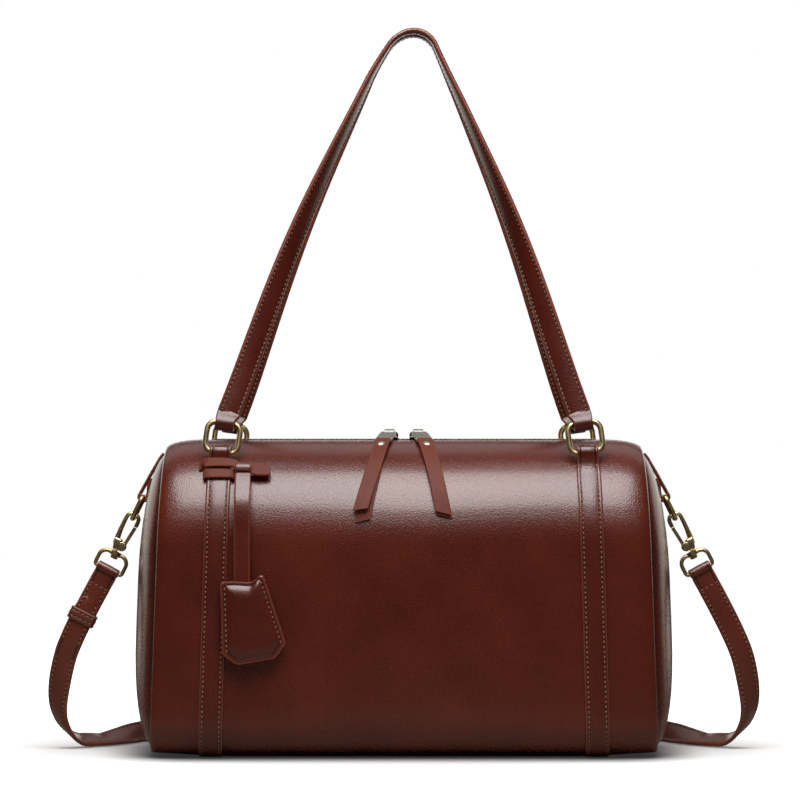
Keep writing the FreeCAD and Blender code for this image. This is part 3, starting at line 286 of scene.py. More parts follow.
TAPE = finish_material(
    "zip_cloth", WEAVE, {"Warp": (0.03, 0.014, 0.011, 1), "Weft": (0.015, 0.008, 0.006, 1), "Threads": 520.0},
    bump=0.4, depth=0.0003, roughness=0.85,
)
LINING = finish_material(
    "lining_cloth", WEAVE, {"Warp": (0.22, 0.15, 0.09, 1), "Weft": (0.14, 0.095, 0.06, 1), "Threads": 420.0},
    bump=0.4, depth=0.0003, roughness=0.9,
)
THREAD = finish_material(
    "sewing_thread", WEAVE, {"Warp": (0.33, 0.165, 0.098, 1), "Weft": (0.22, 0.102, 0.062, 1), "Threads": 1500.0},
    bump=0.3, depth=0.0001, roughness=0.6,
)
BOARD = finish_material(
    "pressed_board", WEAVE, {"Warp": (0.30, 0.22, 0.15, 1), "Weft": (0.22, 0.16, 0.11, 1), "Threads": 200.0},
    bump=0.2, depth=0.0002, roughness=0.8,
)


# Mesh makers


def piece(name, bm, materials, body, replaced=(), smooth_deg=40.0, wall=0.0, ride=True):
    """Turns a bmesh in millimetres into a finished piece that rides on a body."""
    bmesh.ops.scale(bm, vec=(MM, MM, MM), verts=bm.verts)
    bmesh.ops.recalc_face_normals(bm, faces=bm.faces)
    mesh = bpy.data.meshes.new(name)
    bm.to_mesh(mesh)
    bm.free()
    obj = bpy.data.objects.new(name, mesh)
    bpy.context.collection.objects.link(obj)
    for material in materials:
        mesh.materials.append(material)
    mesh.shade_smooth()
    mesh.set_sharp_from_angle(angle=math.radians(smooth_deg))
    if wall:
        thick = obj.modifiers.new("wall", "SOLIDIFY")
        thick.thickness = wall * MM
        thick.offset = -1.0
    if ride:
        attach(obj, body)
    if replaced:
        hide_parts(*replaced)
    return obj


def sweep(bm, outline, frames, rim=None, closed=True, caps=True):
    """Draws an outline in the first frame and pulls it on from frame to frame."""
    mark = bm.verts.layers.float.get("rim") or bm.verts.layers.float.new("rim")
    first = [bm.verts.new(frames[0] @ Vector((*point, 0.0))) for point in outline]
    for vert, painted in zip(first, rim or []):
        vert[mark] = painted
    ends = first[1:] + first[:1] if closed else first[1:]
    edges = [bm.edges.new(pair) for pair in zip(first, ends)]
    start = list(edges)
    for before, after in zip(frames, frames[1:]):
        made = bmesh.ops.extrude_edge_only(bm, edges=edges)["geom"]
        verts = [item for item in made if isinstance(item, bmesh.types.BMVert)]
        fresh = set(verts)
        edges = [item for item in made if isinstance(item, bmesh.types.BMEdge) and fresh.issuperset(item.verts)]
        bmesh.ops.transform(bm, matrix=after @ before.inverted(), verts=verts)
    if closed and caps:
        for row in (start, edges):
            bmesh.ops.edgeloop_fill(bm, edges=row)
    return start, edges


def frame_at(point, run, up, width=1.0, wall=1.0):
    """A frame on a strap: X across, Y out of its face, Z along it."""
    run = run.normalized()
    across = up.cross(run).normalized()
    up = run.cross(across)
    turned = Matrix((across * width, up * wall, run)).transposed().to_4x4()
    turned.translation = point
    return turned


def run_frames(points, ups, widths=None):
    """Frames along a row of points, each with the way that the strap's face looks there."""
    frames = []
    for index, point in enumerate(points):
        run = points[min(index + 1, len(points) - 1)] - points[max(index - 1, 0)]
        frames.append(frame_at(point, run, ups[index], widths[index] if widths else 1.0))
    return frames


def walk(frames, step, start=0.0, end=None):
    """Frames at even steps along a row of frames, from start to end millimetres along it."""
    places = [item.translation.copy() for item in frames]
    reach = [0.0]
    for before, after in zip(places, places[1:]):
        reach.append(reach[-1] + (after - before).length)
    end = reach[-1] + end if end is not None and end < 0 else (end or reach[-1])
    count = max(1, round((end - start) / step))
    found = []
    index = 0
    for number in range(count + 1):
        at = start + (end - start) * number / count
        while index < len(frames) - 2 and reach[index + 1] < at:
            index += 1
        share = (at - reach[index]) / max(reach[index + 1] - reach[index], 1e-9)
        found.append(frames[index].lerp(frames[index + 1], clamp(share)))
    return found


def sew(bm, frames, rows, material=1, long=1.9, thick=0.5):
    """Lays a stitch on each frame for every row, given by its place across and its height over the frame."""
    grow = Matrix.Diagonal((thick, 0.42, long / 2, 1.0))
    spots = [place @ Matrix.Translation((across, high, 0.0)) @ grow for across, high in rows for place in frames]
    for start in range(0, len(spots), 16):
        thread = bmesh.new()
        for spot in spots[start : start + 16]:
            bmesh.ops.create_uvsphere(thread, u_segments=6, v_segments=4, radius=1.0, matrix=spot)
        for face in thread.faces:
            face.material_index = material
        run = bpy.data.meshes.new("thread")
        thread.to_mesh(run)
        thread.free()
        bm.from_mesh(run)
        bpy.data.meshes.remove(run)


SEAM_ROW, GROOVE = 2.2, 0.3


def strap_outline(width, wall, both=False, grooved=True):
    """A strap's cross-section with rounded painted rims and a groove under each row of stitches, whose mark paints
    shade into it.
    """
    half, high = width / 2, wall / 2
    dip = GROOVE if grooved else 0.0
    row = half - SEAM_ROW
    face = [
        (half - 0.45 * wall, high - 0.03, 0.35),
        (row + 0.75, high, 0.0),
        # The groove's mark of -1 gives it painted shade.
        (row, high - dip, -1.0 if grooved else 0.0),
        (row - 0.75, high, 0.0),
        (0.0, high + 0.12, 0.0),
    ]
    top = face + [(-across, up, mark) for across, up, mark in reversed(face[:-1])]
    edge = [(-half + 0.1 * wall, 0.28 * wall, 1.0), (-half, 0.0, 1.0), (-half + 0.1 * wall, -0.28 * wall, 1.0)]
    under = [(across, -up if both else -high, mark) for across, up, mark in reversed(top)]
    points = top + edge + under + [(-across, -up, mark) for across, up, mark in edge]
    return [point[:2] for point in points], [point[2] for point in points]


def strap(bm, frames, width, wall, both=False, rows=True, start=2.0, end=-2.0, grooved=True):
    """A sewn strap through frames, with a row of stitches along each side."""
    outline, rim = strap_outline(width, wall, both, grooved)
    sweep(bm, outline, frames, rim)
    if rows:
        side = width / 2 - SEAM_ROW
        high = wall / 2 - GROOVE + 0.1
        spots = walk(frames, STITCH_STEP, start, end)
        levels = (high, -high) if both else (high,)
        sew(bm, spots, [(across, level) for across in (-side, side) for level in levels])


def mirrored(bm, across_x=False, across_y=False):
    """Turns a finished half-made shape to the other side."""
    bmesh.ops.scale(bm, vec=(-1 if across_x else 1, -1 if across_y else 1, 1), verts=bm.verts)
    return bm


# Camera, floor and light


def studio():
    """A camera in front of the bag, a white floor that keeps the shadow and has a painted contact shadow round the bag,
    and soft boxes above and beside it.
    """
    view = bpy.data.cameras.new("camera")
    view.sensor_width = 36.0
    view.lens = 162.6
    camera = bpy.data.objects.new("camera", view)
    camera.location = (-0.0025, -2.315, 0.1686)
    camera.rotation_euler = (math.radians(91.38), 0, 0)
    bpy.context.collection.objects.link(camera)
    bpy.context.scene.camera = camera
    bpy.context.scene.view_settings.view_transform = "Standard"

    def backdrop_share(tree, in_gloss):
        """1 for what the camera and clear things see of the backdrop, less for what glossy surfaces mirror of it."""
        path = add(tree, "ShaderNodeLightPath")
        mirror = add(tree, "ShaderNodeMath", operation="MULTIPLY")
        tree.links.new(path.outputs["Is Glossy Ray"], mirror.inputs[0])
        mirror.inputs[1].default_value = in_gloss
        seen = path.outputs["Is Camera Ray"]
        for source in (path.outputs["Is Transmission Ray"], mirror.outputs["Value"]):
            either = add(tree, "ShaderNodeMath", operation="MAXIMUM")
            tree.links.new(seen, either.inputs[0])
            tree.links.new(source, either.inputs[1])
            seen = either.outputs["Value"]
        return seen

    world = bpy.data.worlds.new("studio")
    bpy.context.scene.world = world
    world.use_nodes = True
    tree = world.node_tree
    sky = tree.nodes["Background"]
    sky.inputs["Color"].default_value = (1, 1, 1, 1)
    tree.links.new(ramp(tree, backdrop_share(tree, 0.012), 0.0, 1.0, 0.03, 1.0), sky.inputs["Strength"])

    white = bpy.data.materials.new("studio_floor")
    white.use_nodes = True
    tree = white.node_tree
    shader = tree.nodes["Principled BSDF"]
    shader.inputs["Roughness"].default_value = 0.7
    shader.inputs["Specular IOR Level"].default_value = 0.05
    shader.inputs["Emission Color"].default_value = (1, 1, 1, 1)
    place = add(tree, "ShaderNodeTexCoord")
    squeezed = add(tree, "ShaderNodeVectorMath", operation="MULTIPLY")
    squeezed.inputs[1].default_value = (0.6, 1.0, 1.0)
    tree.links.new(place.outputs["Object"], squeezed.inputs[0])
    reach = add(tree, "ShaderNodeVectorMath", operation="LENGTH")
    tree.links.new(squeezed.outputs["Vector"], reach.inputs[0])
    glow = add(tree, "ShaderNodeMath", operation="MULTIPLY")
    tree.links.new(backdrop_share(tree, 0.022), glow.inputs[0])
    tree.links.new(ramp(tree, reach.outputs["Value"], 0.105, 0.36, 0.03, 1.0), glow.inputs[1])
    tree.links.new(glow.outputs["Value"], shader.inputs["Emission Strength"])
    path = add(tree, "ShaderNodeLightPath")
    dim = add(tree, "ShaderNodeMath", operation="MULTIPLY")
    tree.links.new(path.outputs["Is Glossy Ray"], dim.inputs[0])
    tree.links.new(ramp(tree, reach.outputs["Value"], 0.18, 0.42, 0.35, 0.95), dim.inputs[1])
    bounce = add(tree, "ShaderNodeMix", data_type="RGBA")
    bounce.inputs["A"].default_value = (0.36, 0.29, 0.23, 1)
    bounce.inputs["B"].default_value = (0.0, 0.0, 0.0, 1)
    tree.links.new(dim.outputs["Value"], bounce.inputs["Factor"])
    # Painted contact shadow: for the camera, the floor's colour darkens towards the bag's footprint.
    beside = place.outputs["Object"]
    for kind, other in (("ABSOLUTE", None), ("SUBTRACT", (0.130, 0.046, 0.0)), ("MAXIMUM", (0.0, 0.0, 0.0)), ("LENGTH", None)):
        step = add(tree, "ShaderNodeVectorMath", operation=kind)
        tree.links.new(beside, step.inputs[0])
        if other:
            step.inputs[1].default_value = other
        beside = step.outputs["Value" if kind == "LENGTH" else "Vector"]
    painted_contact_shadow = ramp(tree, beside, 0.022, 0.066, 0.16, 0.84)
    painted_contact_shadow.node.interpolation_type = "SMOOTHSTEP"
    paint = add(tree, "ShaderNodeMix", data_type="RGBA")
    tree.links.new(painted_contact_shadow, paint.inputs["B"])
    tree.links.new(path.outputs["Is Camera Ray"], paint.inputs["Factor"])
    tree.links.new(bounce.outputs["Result"], paint.inputs["A"])
    tree.links.new(paint.outputs["Result"], shader.inputs["Base Color"])
    bm = bmesh.new()
    bmesh.ops.create_grid(bm, x_segments=4, y_segments=4, size=6.0)
    mesh = bpy.data.meshes.new("floor")
    bm.to_mesh(mesh)
    bm.free()
    floor = bpy.data.objects.new("floor", mesh)
    bpy.context.collection.objects.link(floor)
    mesh.materials.append(white)

    for name, place, aim, size, power in (
        ("overhead_box", (0.0, -0.80, 1.42), (0.0, -0.799, 0.0), (1.2, 1.3), 34.5),
        ("front_box", (0.0, -1.90, 1.30), (0.0, -1.899, 0.0), (2.2, 0.6), 4.0),
        ("rear_box", (0.0, 1.00, 1.35), (0.0, 0.0, 0.19), (2.2, 0.8), 2.8),
        ("back_box", (0.0, 1.90, 0.50), (0.0, 0.0, 0.12), (2.0, 0.6), 4.0),
        ("left_box", (-1.15, 1.15, 0.38), (0.0, 0.0, 0.12), (1.0, 0.8), 2.2),
        ("right_box", (1.15, 1.15, 0.38), (0.0, 0.0, 0.12), (1.0, 0.8), 2.2),
    ):
        lamp = bpy.data.lights.new(name, "AREA")
        lamp.shape = "RECTANGLE"
        lamp.size, lamp.size_y = size
        lamp.energy = power
        lamp.color = (1.0, 0.88, 0.74) if place[0] else (1.0, 0.985, 0.98)
        box = bpy.data.objects.new(name, lamp)
        box.location = place
        box.rotation_euler = (Vector(aim) - Vector(place)).to_track_quat("-Z", "Y").to_euler()
        bpy.context.collection.objects.link(box)


studio()

# The crossbody strap: a route from clip to clip, drawn as one smooth line, in three lengths that part where the CAD parts.
STRAP_BAR = Vector((189.571, 0.0, 115.6725))
FALL = Vector((0.438371, 0.0, -0.898794))
CROSS_WIDTH, CROSS_WALL = 15.0, 2.6
ROUTE = [
    (STRAP_BAR, (0.0, -1.0, 0.0)),
    (STRAP_BAR + FALL * 48 + Vector((3, 0, 0)), (0.0, -1.0, 0.0)),
    (Vector((221, 5, 45)), (0.20, -1.0, 0.0)),
    (Vector((223, 12, 22)), (0.75, -0.75, 0.0)),
    (Vector((213, 24, 5)), (0.75, -0.10, -0.60)),
    (Vector((194, 42, 3)), (0.20, 0.35, -0.90)),
    (Vector((176, 66, 8)), (0.35, 0.75, -0.45)),
    (Vector((148, 96, 8)), (0.55, 0.85, -0.05)),
    (Vector((100, 128, 8)), (0.40, 0.92, 0.0)),
    (Vector((36, 147, 8)), (0.12, 1.0, 0.0)),
]


def other_side(vector):
    return Vector((-vector[0], vector[1], vector[2]))


def cross_line(marks):
    """The points of the smooth line that the route's marks steer."""
    curve = bpy.data.curves.new("cross_line", "CURVE")
    curve.dimensions = "3D"
    curve.resolution_u = 10
    spline = curve.splines.new("NURBS")
    spline.points.add(len(marks) - 1)
    for knot, (point, face) in zip(spline.points, marks):
        knot.co = (*(point * MM), 1.0)
    spline.order_u = 3
    spline.use_endpoint_u = True
    guide = bpy.data.objects.new("cross_line", curve)
    mesh = bpy.data.meshes.new_from_object(guide)
    points = [vert.co / MM for vert in mesh.vertices]
    bpy.data.objects.remove(guide)
    bpy.data.curves.remove(curve)
    bpy.data.meshes.remove(mesh)
    return points


def face_at(point, marks):
    """The way that the strap's outer face looks at a point, between its two nearest marks."""
    near = sorted(marks, key=lambda mark: (mark[0] - point).length)[:2]
    first, second = ((mark[0] - point).length for mark in near)
    return (Vector(near[0][1]) * second + Vector(near[1][1]) * first).normalized()


def resting(place):
    """Lifts a frame that would sink into the floor until the strap's lower edge lies on it."""
    low = CROSS_WIDTH / 2 * abs(place.col[0].z) + CROSS_WALL / 2 * abs(place.col[1].z) + GAP
    place.translation.z = max(place.translation.z, low)
    return place


CROSS_MARKS = [(other_side(point), other_side(face)) for point, face in ROUTE] + list(reversed(ROUTE))
cross_points = cross_line(CROSS_MARKS)
cross_frames = run_frames(cross_points, [face_at(point, CROSS_MARKS) for point in cross_points])
cross_frames = [resting(place) for place in cross_frames]
part_at = next(i for i, p in enumerate(cross_points) if p.x > -150 and p.y > 60)
last = len(cross_points) - 1


def cross_length(name, frames, body, replaced):
    """One length of the crossbody strap."""
    bm = bmesh.new()
    hanging = name.endswith(("left", "right"))
    if not hanging:
        strap(bm, frames, CROSS_WIDTH, CROSS_WALL, both=True, start=1.6, end=-1.6)
    else:
        strap(bm, walk(frames, 3.0, 3.0), CROSS_WIDTH, CROSS_WALL, both=True, start=11.0, end=-1.6)
        top = frames[0].translation
        fall = (frames[4].translation - top).normalized()
        front = Vector((0, -1, 0))
        loop = []
        for step in range(15):
            turn = math.radians(-70 + 320 * step / 14)
            out = front * math.cos(turn) - fall * math.sin(turn)
            along = front * -math.sin(turn) - fall * math.cos(turn)
            loop.append(frame_at(top + out * 2.45, along, out))
        # The loop takes the grooved outline's marks, so painted groove shade lies along its stitch rows though it has
        # no groove.
        sweep(bm, strap_outline(CROSS_WIDTH, 1.5, grooved=False)[0], loop, strap_outline(CROSS_WIDTH, 1.5)[1])
        across = frames[0].col[0].xyz
        ends = [top + fall * 12 + front * 1.25 + across * way for way in (-5.2, 5.2)]
        sew(bm, walk([frame_at(end, across, front) for end in ends], STITCH_STEP), [(0.0, 0.05)])
    obj = piece(name, bm, [CROSS_HIDE, THREAD], body, replaced, ride=not hanging)
    path = [place.translation * MM for place in frames]
    if hanging:
        clip = "clip_left" if name.endswith("left") else "clip_right"
        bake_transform(obj, clip, "bag", start=path[0], end=path[len(path) * 3 // 4])
    return obj


cross_length("crossbody_skin_left", cross_frames[: part_at + 1], "bag", ["crossbody_strap_left"])
cross_length("crossbody_skin_back", cross_frames[part_at : last - part_at + 1], "bag", ["crossbody_strap_back"])
cross_length("crossbody_skin_right", cross_frames[: last - part_at - 1 : -1], "bag", ["crossbody_strap_right"])


# The body: panels wrap the front and the back, and pillowed ends close it.


def arc_points(centre, radius, start_deg, end_deg, steps):
    """Points of an arc in the YZ plane, as (y, z)."""
    points = []
    for step in range(steps + 1):
        turn = math.radians(start_deg + (end_deg - start_deg) * step / steps)
        points.append((centre[0] + radius * math.cos(turn), centre[1] + radius * math.sin(turn)))
    return points


def straight(start, end, steps):
    """Points between two ends, without the ends."""
    return [tuple(Vector(start).lerp(Vector(end), step / steps)) for step in range(1, steps)]


def front_outline(inset=0.0):
    """The front half of the section, from the zip's edge over the shoulder to the edge under the base."""
    deep, low, high = DEPTH / 2 - inset, UNDERSIDE + inset, HEIGHT - inset
    over = arc_points((-TOP_HALF, high - (deep - TOP_HALF)), deep - TOP_HALF, 90, 180, 18)
    heel = HEEL - inset
    under = arc_points((heel - deep, low + heel), heel, 180, 270, 8)
    return [(-ZIP_HALF, high)] + over + straight(over[-1], under[0], 9) + under + [(-PANEL_EDGE, low)]


def draw_in(from_end):
    return 1.0 - math.sqrt(1.0 - (1.0 - min(from_end / END_ROUND, 1.0)) ** 2)


def section_frame(share, tuck=0.0, out=0.0, scale=1.0):
    """Where the body's section lies at a share of the half length; its outline's (y, z) become (x, y) of the frame."""
    drawn = draw_in((1.0 - abs(share)) * BASE_LENGTH / 2)
    deep = DEPTH / 2 - drawn * END_DRAW - tuck
    low = UNDERSIDE + drawn * END_LIFT + tuck
    high = HEIGHT / math.cos(share * TAPER) - drawn * END_DROP - tuck
    middle = (low + high) / 2
    tall = (high - low) / (HEIGHT - UNDERSIDE)
    swap = Matrix(((0, 0, 1, 0), (1, 0, 0, 0), (0, 1, 0, 0), (0, 0, 0, 1)))
    grow = Matrix.Translation((out, 0, low - UNDERSIDE * tall)) @ Matrix.Diagonal((1, deep / (DEPTH / 2), tall, 1))
    shrink = Matrix.Translation((0, 0, middle)) @ Matrix.Diagonal((1, scale, scale, 1)) @ Matrix.Translation((0, 0, -middle))
    lean = Matrix.Translation((share * BASE_LENGTH / 2, 0, 0)) @ Matrix.Rotation(-share * TAPER, 4, "Y")
    return lean @ shrink @ grow @ swap


def fullness(x, z):
    """How far the soft front stands out between the straps, in millimetres."""
    across = clamp(1.0 - (x / 104.0) ** 2) ** 1.5
    return 2.4 * across * clamp(1.0 - ((z - 88.0) / 82.0) ** 2) ** 1.2


def ripple(point, reach, size):
    """A slow, even unevenness of hide, the same on every run."""
    return noise.noise(point * reach) * size


END_STEPS = (0.0, 0.5, 1.4, 3.0, 5.5, 9.0, 13.0, 18.0, 23.0, 28.0, 34.0, 42.0)


def panel(name, node, back):
    """One of the two wrapping panels, rolled in at the end seams and softly filled at the front."""
    half = BASE_LENGTH / 2
    shares = [1.0 - step / half for step in END_STEPS]
    middle = [shares[-1] - 2 * shares[-1] * step / 22 for step in range(1, 22)]
    frames = [section_frame(1.0, 3.2, -2.4), section_frame(1.0, 1.7, -0.4), section_frame(1.0, 0.7, 0.2)]
    frames += [section_frame(share) for share in shares + middle + [-share for share in reversed(shares)]]
    frames += [section_frame(-1.0, 0.7, -0.2), section_frame(-1.0, 1.7, 0.4), section_frame(-1.0, 3.2, 2.4)]
    bm = bmesh.new()
    outline = front_outline()
    sweep(bm, outline, frames, closed=False)
    mark = bm.verts.layers.float["rim"]
    # The rows rolled into the end seams get painted shade.
    seam_shade = {0: -1.0, 1: -0.9, 2: -0.3}
    for index, vert in enumerate(bm.verts):
        row = index // len(outline)
        vert[mark] = seam_shade.get(min(row, len(frames) - 1 - row), 0.0)
        x, y, z = vert.co
        if y > -20 and not back:
            vert.co.z -= 0.9 * clamp((20 + y) / 11) * clamp((124 - abs(x)) / 6)
        if y < -SHOULDER and 24 < z < 172:
            vert.co.y -= fullness(x, z)
        if abs(x) < 150 and y < -20 and z > 6:
            vert.co += Vector((0, -0.7, 0.7)) * ripple(vert.co, 0.022, 0.35) * clamp((150 - abs(x)) / 20)
    mirrored(bm, across_y=back)
    return piece(name, bm, [BODY_HIDE], "bag", [node], wall=LEATHER)


panel("front_skin", "front_panel", False)
panel("back_skin", "back_panel", True)


def end_pillow(side, name):
    """A pillowed end: its rim sits in the seam and its middle swells out."""
    front = front_outline(UNDERSIDE)[1:-1]
    outline = front + [(-y, z) for y, z in reversed(front)]
    rise = END_BULGE + END_SEAT
    frames = []
    for angle in (0, 4, 9, 15, 22, 30, 38, 46, 54, 62, 69, 75, 80):
        turn = math.radians(angle)
        out = side * (rise * math.sin(turn) - END_SEAT)
        frames.append(section_frame(side * 1.0, out=out, scale=math.cos(turn) ** 0.8))
    bm = bmesh.new()
    start, last_row = sweep(bm, outline, frames, caps=False)
    bmesh.ops.edgeloop_fill(bm, edges=last_row)
    mark = bm.verts.layers.float["rim"]
    # Painted shade darkens the pillow next to its seam.
    for vert in bm.verts:
        risen = abs(vert.co.x) - BASE_LENGTH / 2 + vert.co.z * math.tan(TAPER)
        vert[mark] = -0.95 * clamp((3.5 - risen) / 4.5)
    obj = piece(name + "_end_skin", bm, [BODY_HIDE], "bag", [name + "_end_panel"], wall=LEATHER)
    return obj


for side, name in SIDES:
    end_pillow(side, name)


def lining():
    """The cloth lining: a tube under the panels, open under the zip, and a wall at each end."""
    inset = 3.4
    front = front_outline(inset)[:-1]
    outline = front + [(-y, z) for y, z in reversed(front)]
    reach = 1.0 - 8.4 / (BASE_LENGTH / 2)
    shares = [reach - 2 * reach * step / 24 for step in range(25)]
    lift = Matrix.Translation((0, 0, 1.5))
    bm = bmesh.new()
    sweep(bm, outline, [lift @ section_frame(share) for share in shares], closed=False)
    piece("lining_tube", bm, [LINING], "bag", ["lining_wrap"], wall=0.8)
    for side, name in SIDES:
        bm = bmesh.new()
        start, last_row = sweep(
            bm, outline, [section_frame(side * (reach + 0.006), scale=scale) for scale in (0.985, 0.8, 0.5, 0.2)], caps=False
        )
        bmesh.ops.edgeloop_fill(bm, edges=last_row)
        piece("lining_wall_" + name, bm, [LINING], "bag", ["lining_end_" + name], wall=0.8)


lining()


def rounded_box(bm, low, high, edge, segments=3):
    """A box between two corners with rounded edges."""
    middle = (Vector(low) + Vector(high)) / 2
    spread = Vector(high) - Vector(low)
    made = bmesh.ops.create_cube(bm, size=1.0, matrix=Matrix.Translation(middle) @ Matrix.Diagonal((*spread, 1.0)))["verts"]
    edges = list({edge for vert in made for edge in vert.link_edges})
    bmesh.ops.bevel(
        bm, geom=edges, offset=edge, offset_type="OFFSET", affect="EDGES", segments=segments, profile=0.5, material=-1
    )


def base_skin():
    """The panel that the bag stands on, lifted a little at both ends as the panels are."""
    reach = BASE_LENGTH / 2 - 5
    points = []
    for step in range(-24, 25):
        x = reach * step / 24
        points.append(Vector((x, 0, LEATHER / 2 + 2.6 * clamp((abs(x) - 105) / 48) ** 1.6)))
    outline, rim = strap_outline(96.0, LEATHER, grooved=False)
    bm = bmesh.new()
    sweep(bm, outline, run_frames(points, [UP] * len(points)))
    piece("base_skin", bm, [BODY_HIDE], "bag", ["base_panel"])


base_skin()


# Straps sewn to the body, each folded round the lower bar of its ring


def on_shoulder(angle_deg, height):
    """A point over the front shoulder, by its angle up from the front face and its height over the leather."""
    turn = math.radians(angle_deg)
    return SHOULDER_CENTRE + Vector((0, -math.cos(turn), math.sin(turn))) * (SHOULDER + height)


def shoulder_out(angle_deg):
    turn = math.radians(angle_deg)
    return Vector((0, -math.cos(turn), math.sin(turn)))


def strap_x(z):
    return 120.5 - 5.5 * z / LOWER_BAR.z


def body_strap(name, left, back):
    rise, wall = 53.0, 1.8
    out, down = shoulder_out(rise), Vector((0, -math.sin(math.radians(rise)), -math.cos(math.radians(rise))))
    bar = on_shoulder(rise, 5.45)
    rows = []
    for turn_deg in range(288, 14, -18):
        turn = math.radians(turn_deg)
        way = down * math.cos(turn) + out * math.sin(turn)
        rows.append((bar + way * 4.25, way, 0.885))
    rows.append((on_shoulder(47.3, 3.7), (down * 0.55 + out * 0.83), 0.91))
    rows.append((on_shoulder(44.8, 1.9), (down * 0.3 + out * 0.95), 0.95))
    rows += [(on_shoulder(angle, 1.1), shoulder_out(angle), 1.0) for angle in (42.0, 39, 35, 30, 25, 20, 15, 10, 5, 0)]
    front = -DEPTH / 2 - 1.1
    rows += [(Vector((0, front, z)), Vector((0, -1, 0)), 1.0) for z in (120, 105, 90, 75, 60, 45, 34, 24.2)]
    for y, z in arc_points((HEEL - DEPTH / 2, UNDERSIDE + HEEL), HEEL + 1.1, 180, 270, 8)[1:]:
        rows.append((Vector((0, y, z)), Vector((0, y + DEPTH / 2 - HEEL, z - UNDERSIDE - HEEL)), 1.0))
    rows.append((Vector((0, -48.3, UNDERSIDE - 1.1)), Vector((0, 0, -1)), 1.0))
    points = [point + Vector((strap_x(point.z), 0, 0)) for point, up, width in rows]
    frames = run_frames(points, [up for point, up, width in rows], [width for point, up, width in rows])
    bm = bmesh.new()
    strap(bm, frames, STRAP_WIDTH, wall, start=27.0, end=-3.0)
    across = [on_shoulder(43.6, 2.1) + Vector((strap_x(177) + way, 0, 0)) for way in (-5.0, 5.0)]
    sew(bm, walk([frame_at(end, Vector((1, 0, 0)), shoulder_out(46)) for end in across], STITCH_STEP), [(0.0, 0.25)])
    mirrored(bm, across_x=left, across_y=back)
    piece("sewn_strap_" + name, bm, [STRAP_HIDE, THREAD], "bag", ["body_strap_" + name])


for name in ("front_left", "front_right", "back_left", "back_right"):
    body_strap(name, name.endswith("left"), name.startswith("back"))

# Handles: flat straps that turn a quarter on the way up and lie face up over the top
HANDLE_TOP, ARCH, HANDLE_WALL, HANDLE_BOW, APEX_Y = 458.0, 15.0, 3.0, 5.0, -7.8
LEG_LEAN = math.radians(22.327)
LEG_TOP = Vector((ARCH * math.cos(LEG_LEAN), 0, HANDLE_TOP - ARCH + ARCH * math.sin(LEG_LEAN)))


def handle_point(share):
    """The middle line of the handle's right half: 0 at the ring, 1 where the arch starts, 2 on top."""
    if share <= 1.0:
        bow = HANDLE_BOW * 16 * share ** 2 * (1 - share) ** 2
        x = UPPER_BAR.x + (LEG_TOP.x - UPPER_BAR.x) * share + bow * math.cos(LEG_LEAN)
        z = UPPER_BAR.z + (LEG_TOP.z - UPPER_BAR.z) * share + bow * math.sin(LEG_LEAN)
    else:
        turn = LEG_LEAN + (math.pi / 2 - LEG_LEAN) * (share - 1.0)
        x, z = ARCH * math.cos(turn), HANDLE_TOP - ARCH + ARCH * math.sin(turn)
    y = UPPER_BAR.y + (APEX_Y - UPPER_BAR.y) * (z - UPPER_BAR.z) / (HANDLE_TOP - UPPER_BAR.z)
    return Vector((x, y, z))


def handle_face(share):
    """The way that the handle's outer face looks, turning from the front to straight up."""
    run = handle_point(min(share + 0.002, 2.0)) - handle_point(max(share - 0.002, 0.0))
    run = Vector((-1, 0, 0)) if share == 2.0 else run.normalized()
    front = Vector((0, -1, 0))
    front = (front - run * front.dot(run)).normalized()
    turn = math.pi / 2 * min(share, 1.0)
    return front * math.cos(turn) + front.cross(run) * math.sin(turn)


def handle_lean(x, z):
    """How far a soft handle leans to the right, by the side of the arch and the height."""
    rise = clamp((z - UPPER_BAR.z) / (HANDLE_TOP - 42.0 - UPPER_BAR.z))
    left = 1.0 * rise + 5.3 * clamp((z - 428.0) / 30.0) ** 1.5
    right = 6.4 * rise ** 1.3
    return left + (right - left) * clamp(0.5 + x / 24.0)


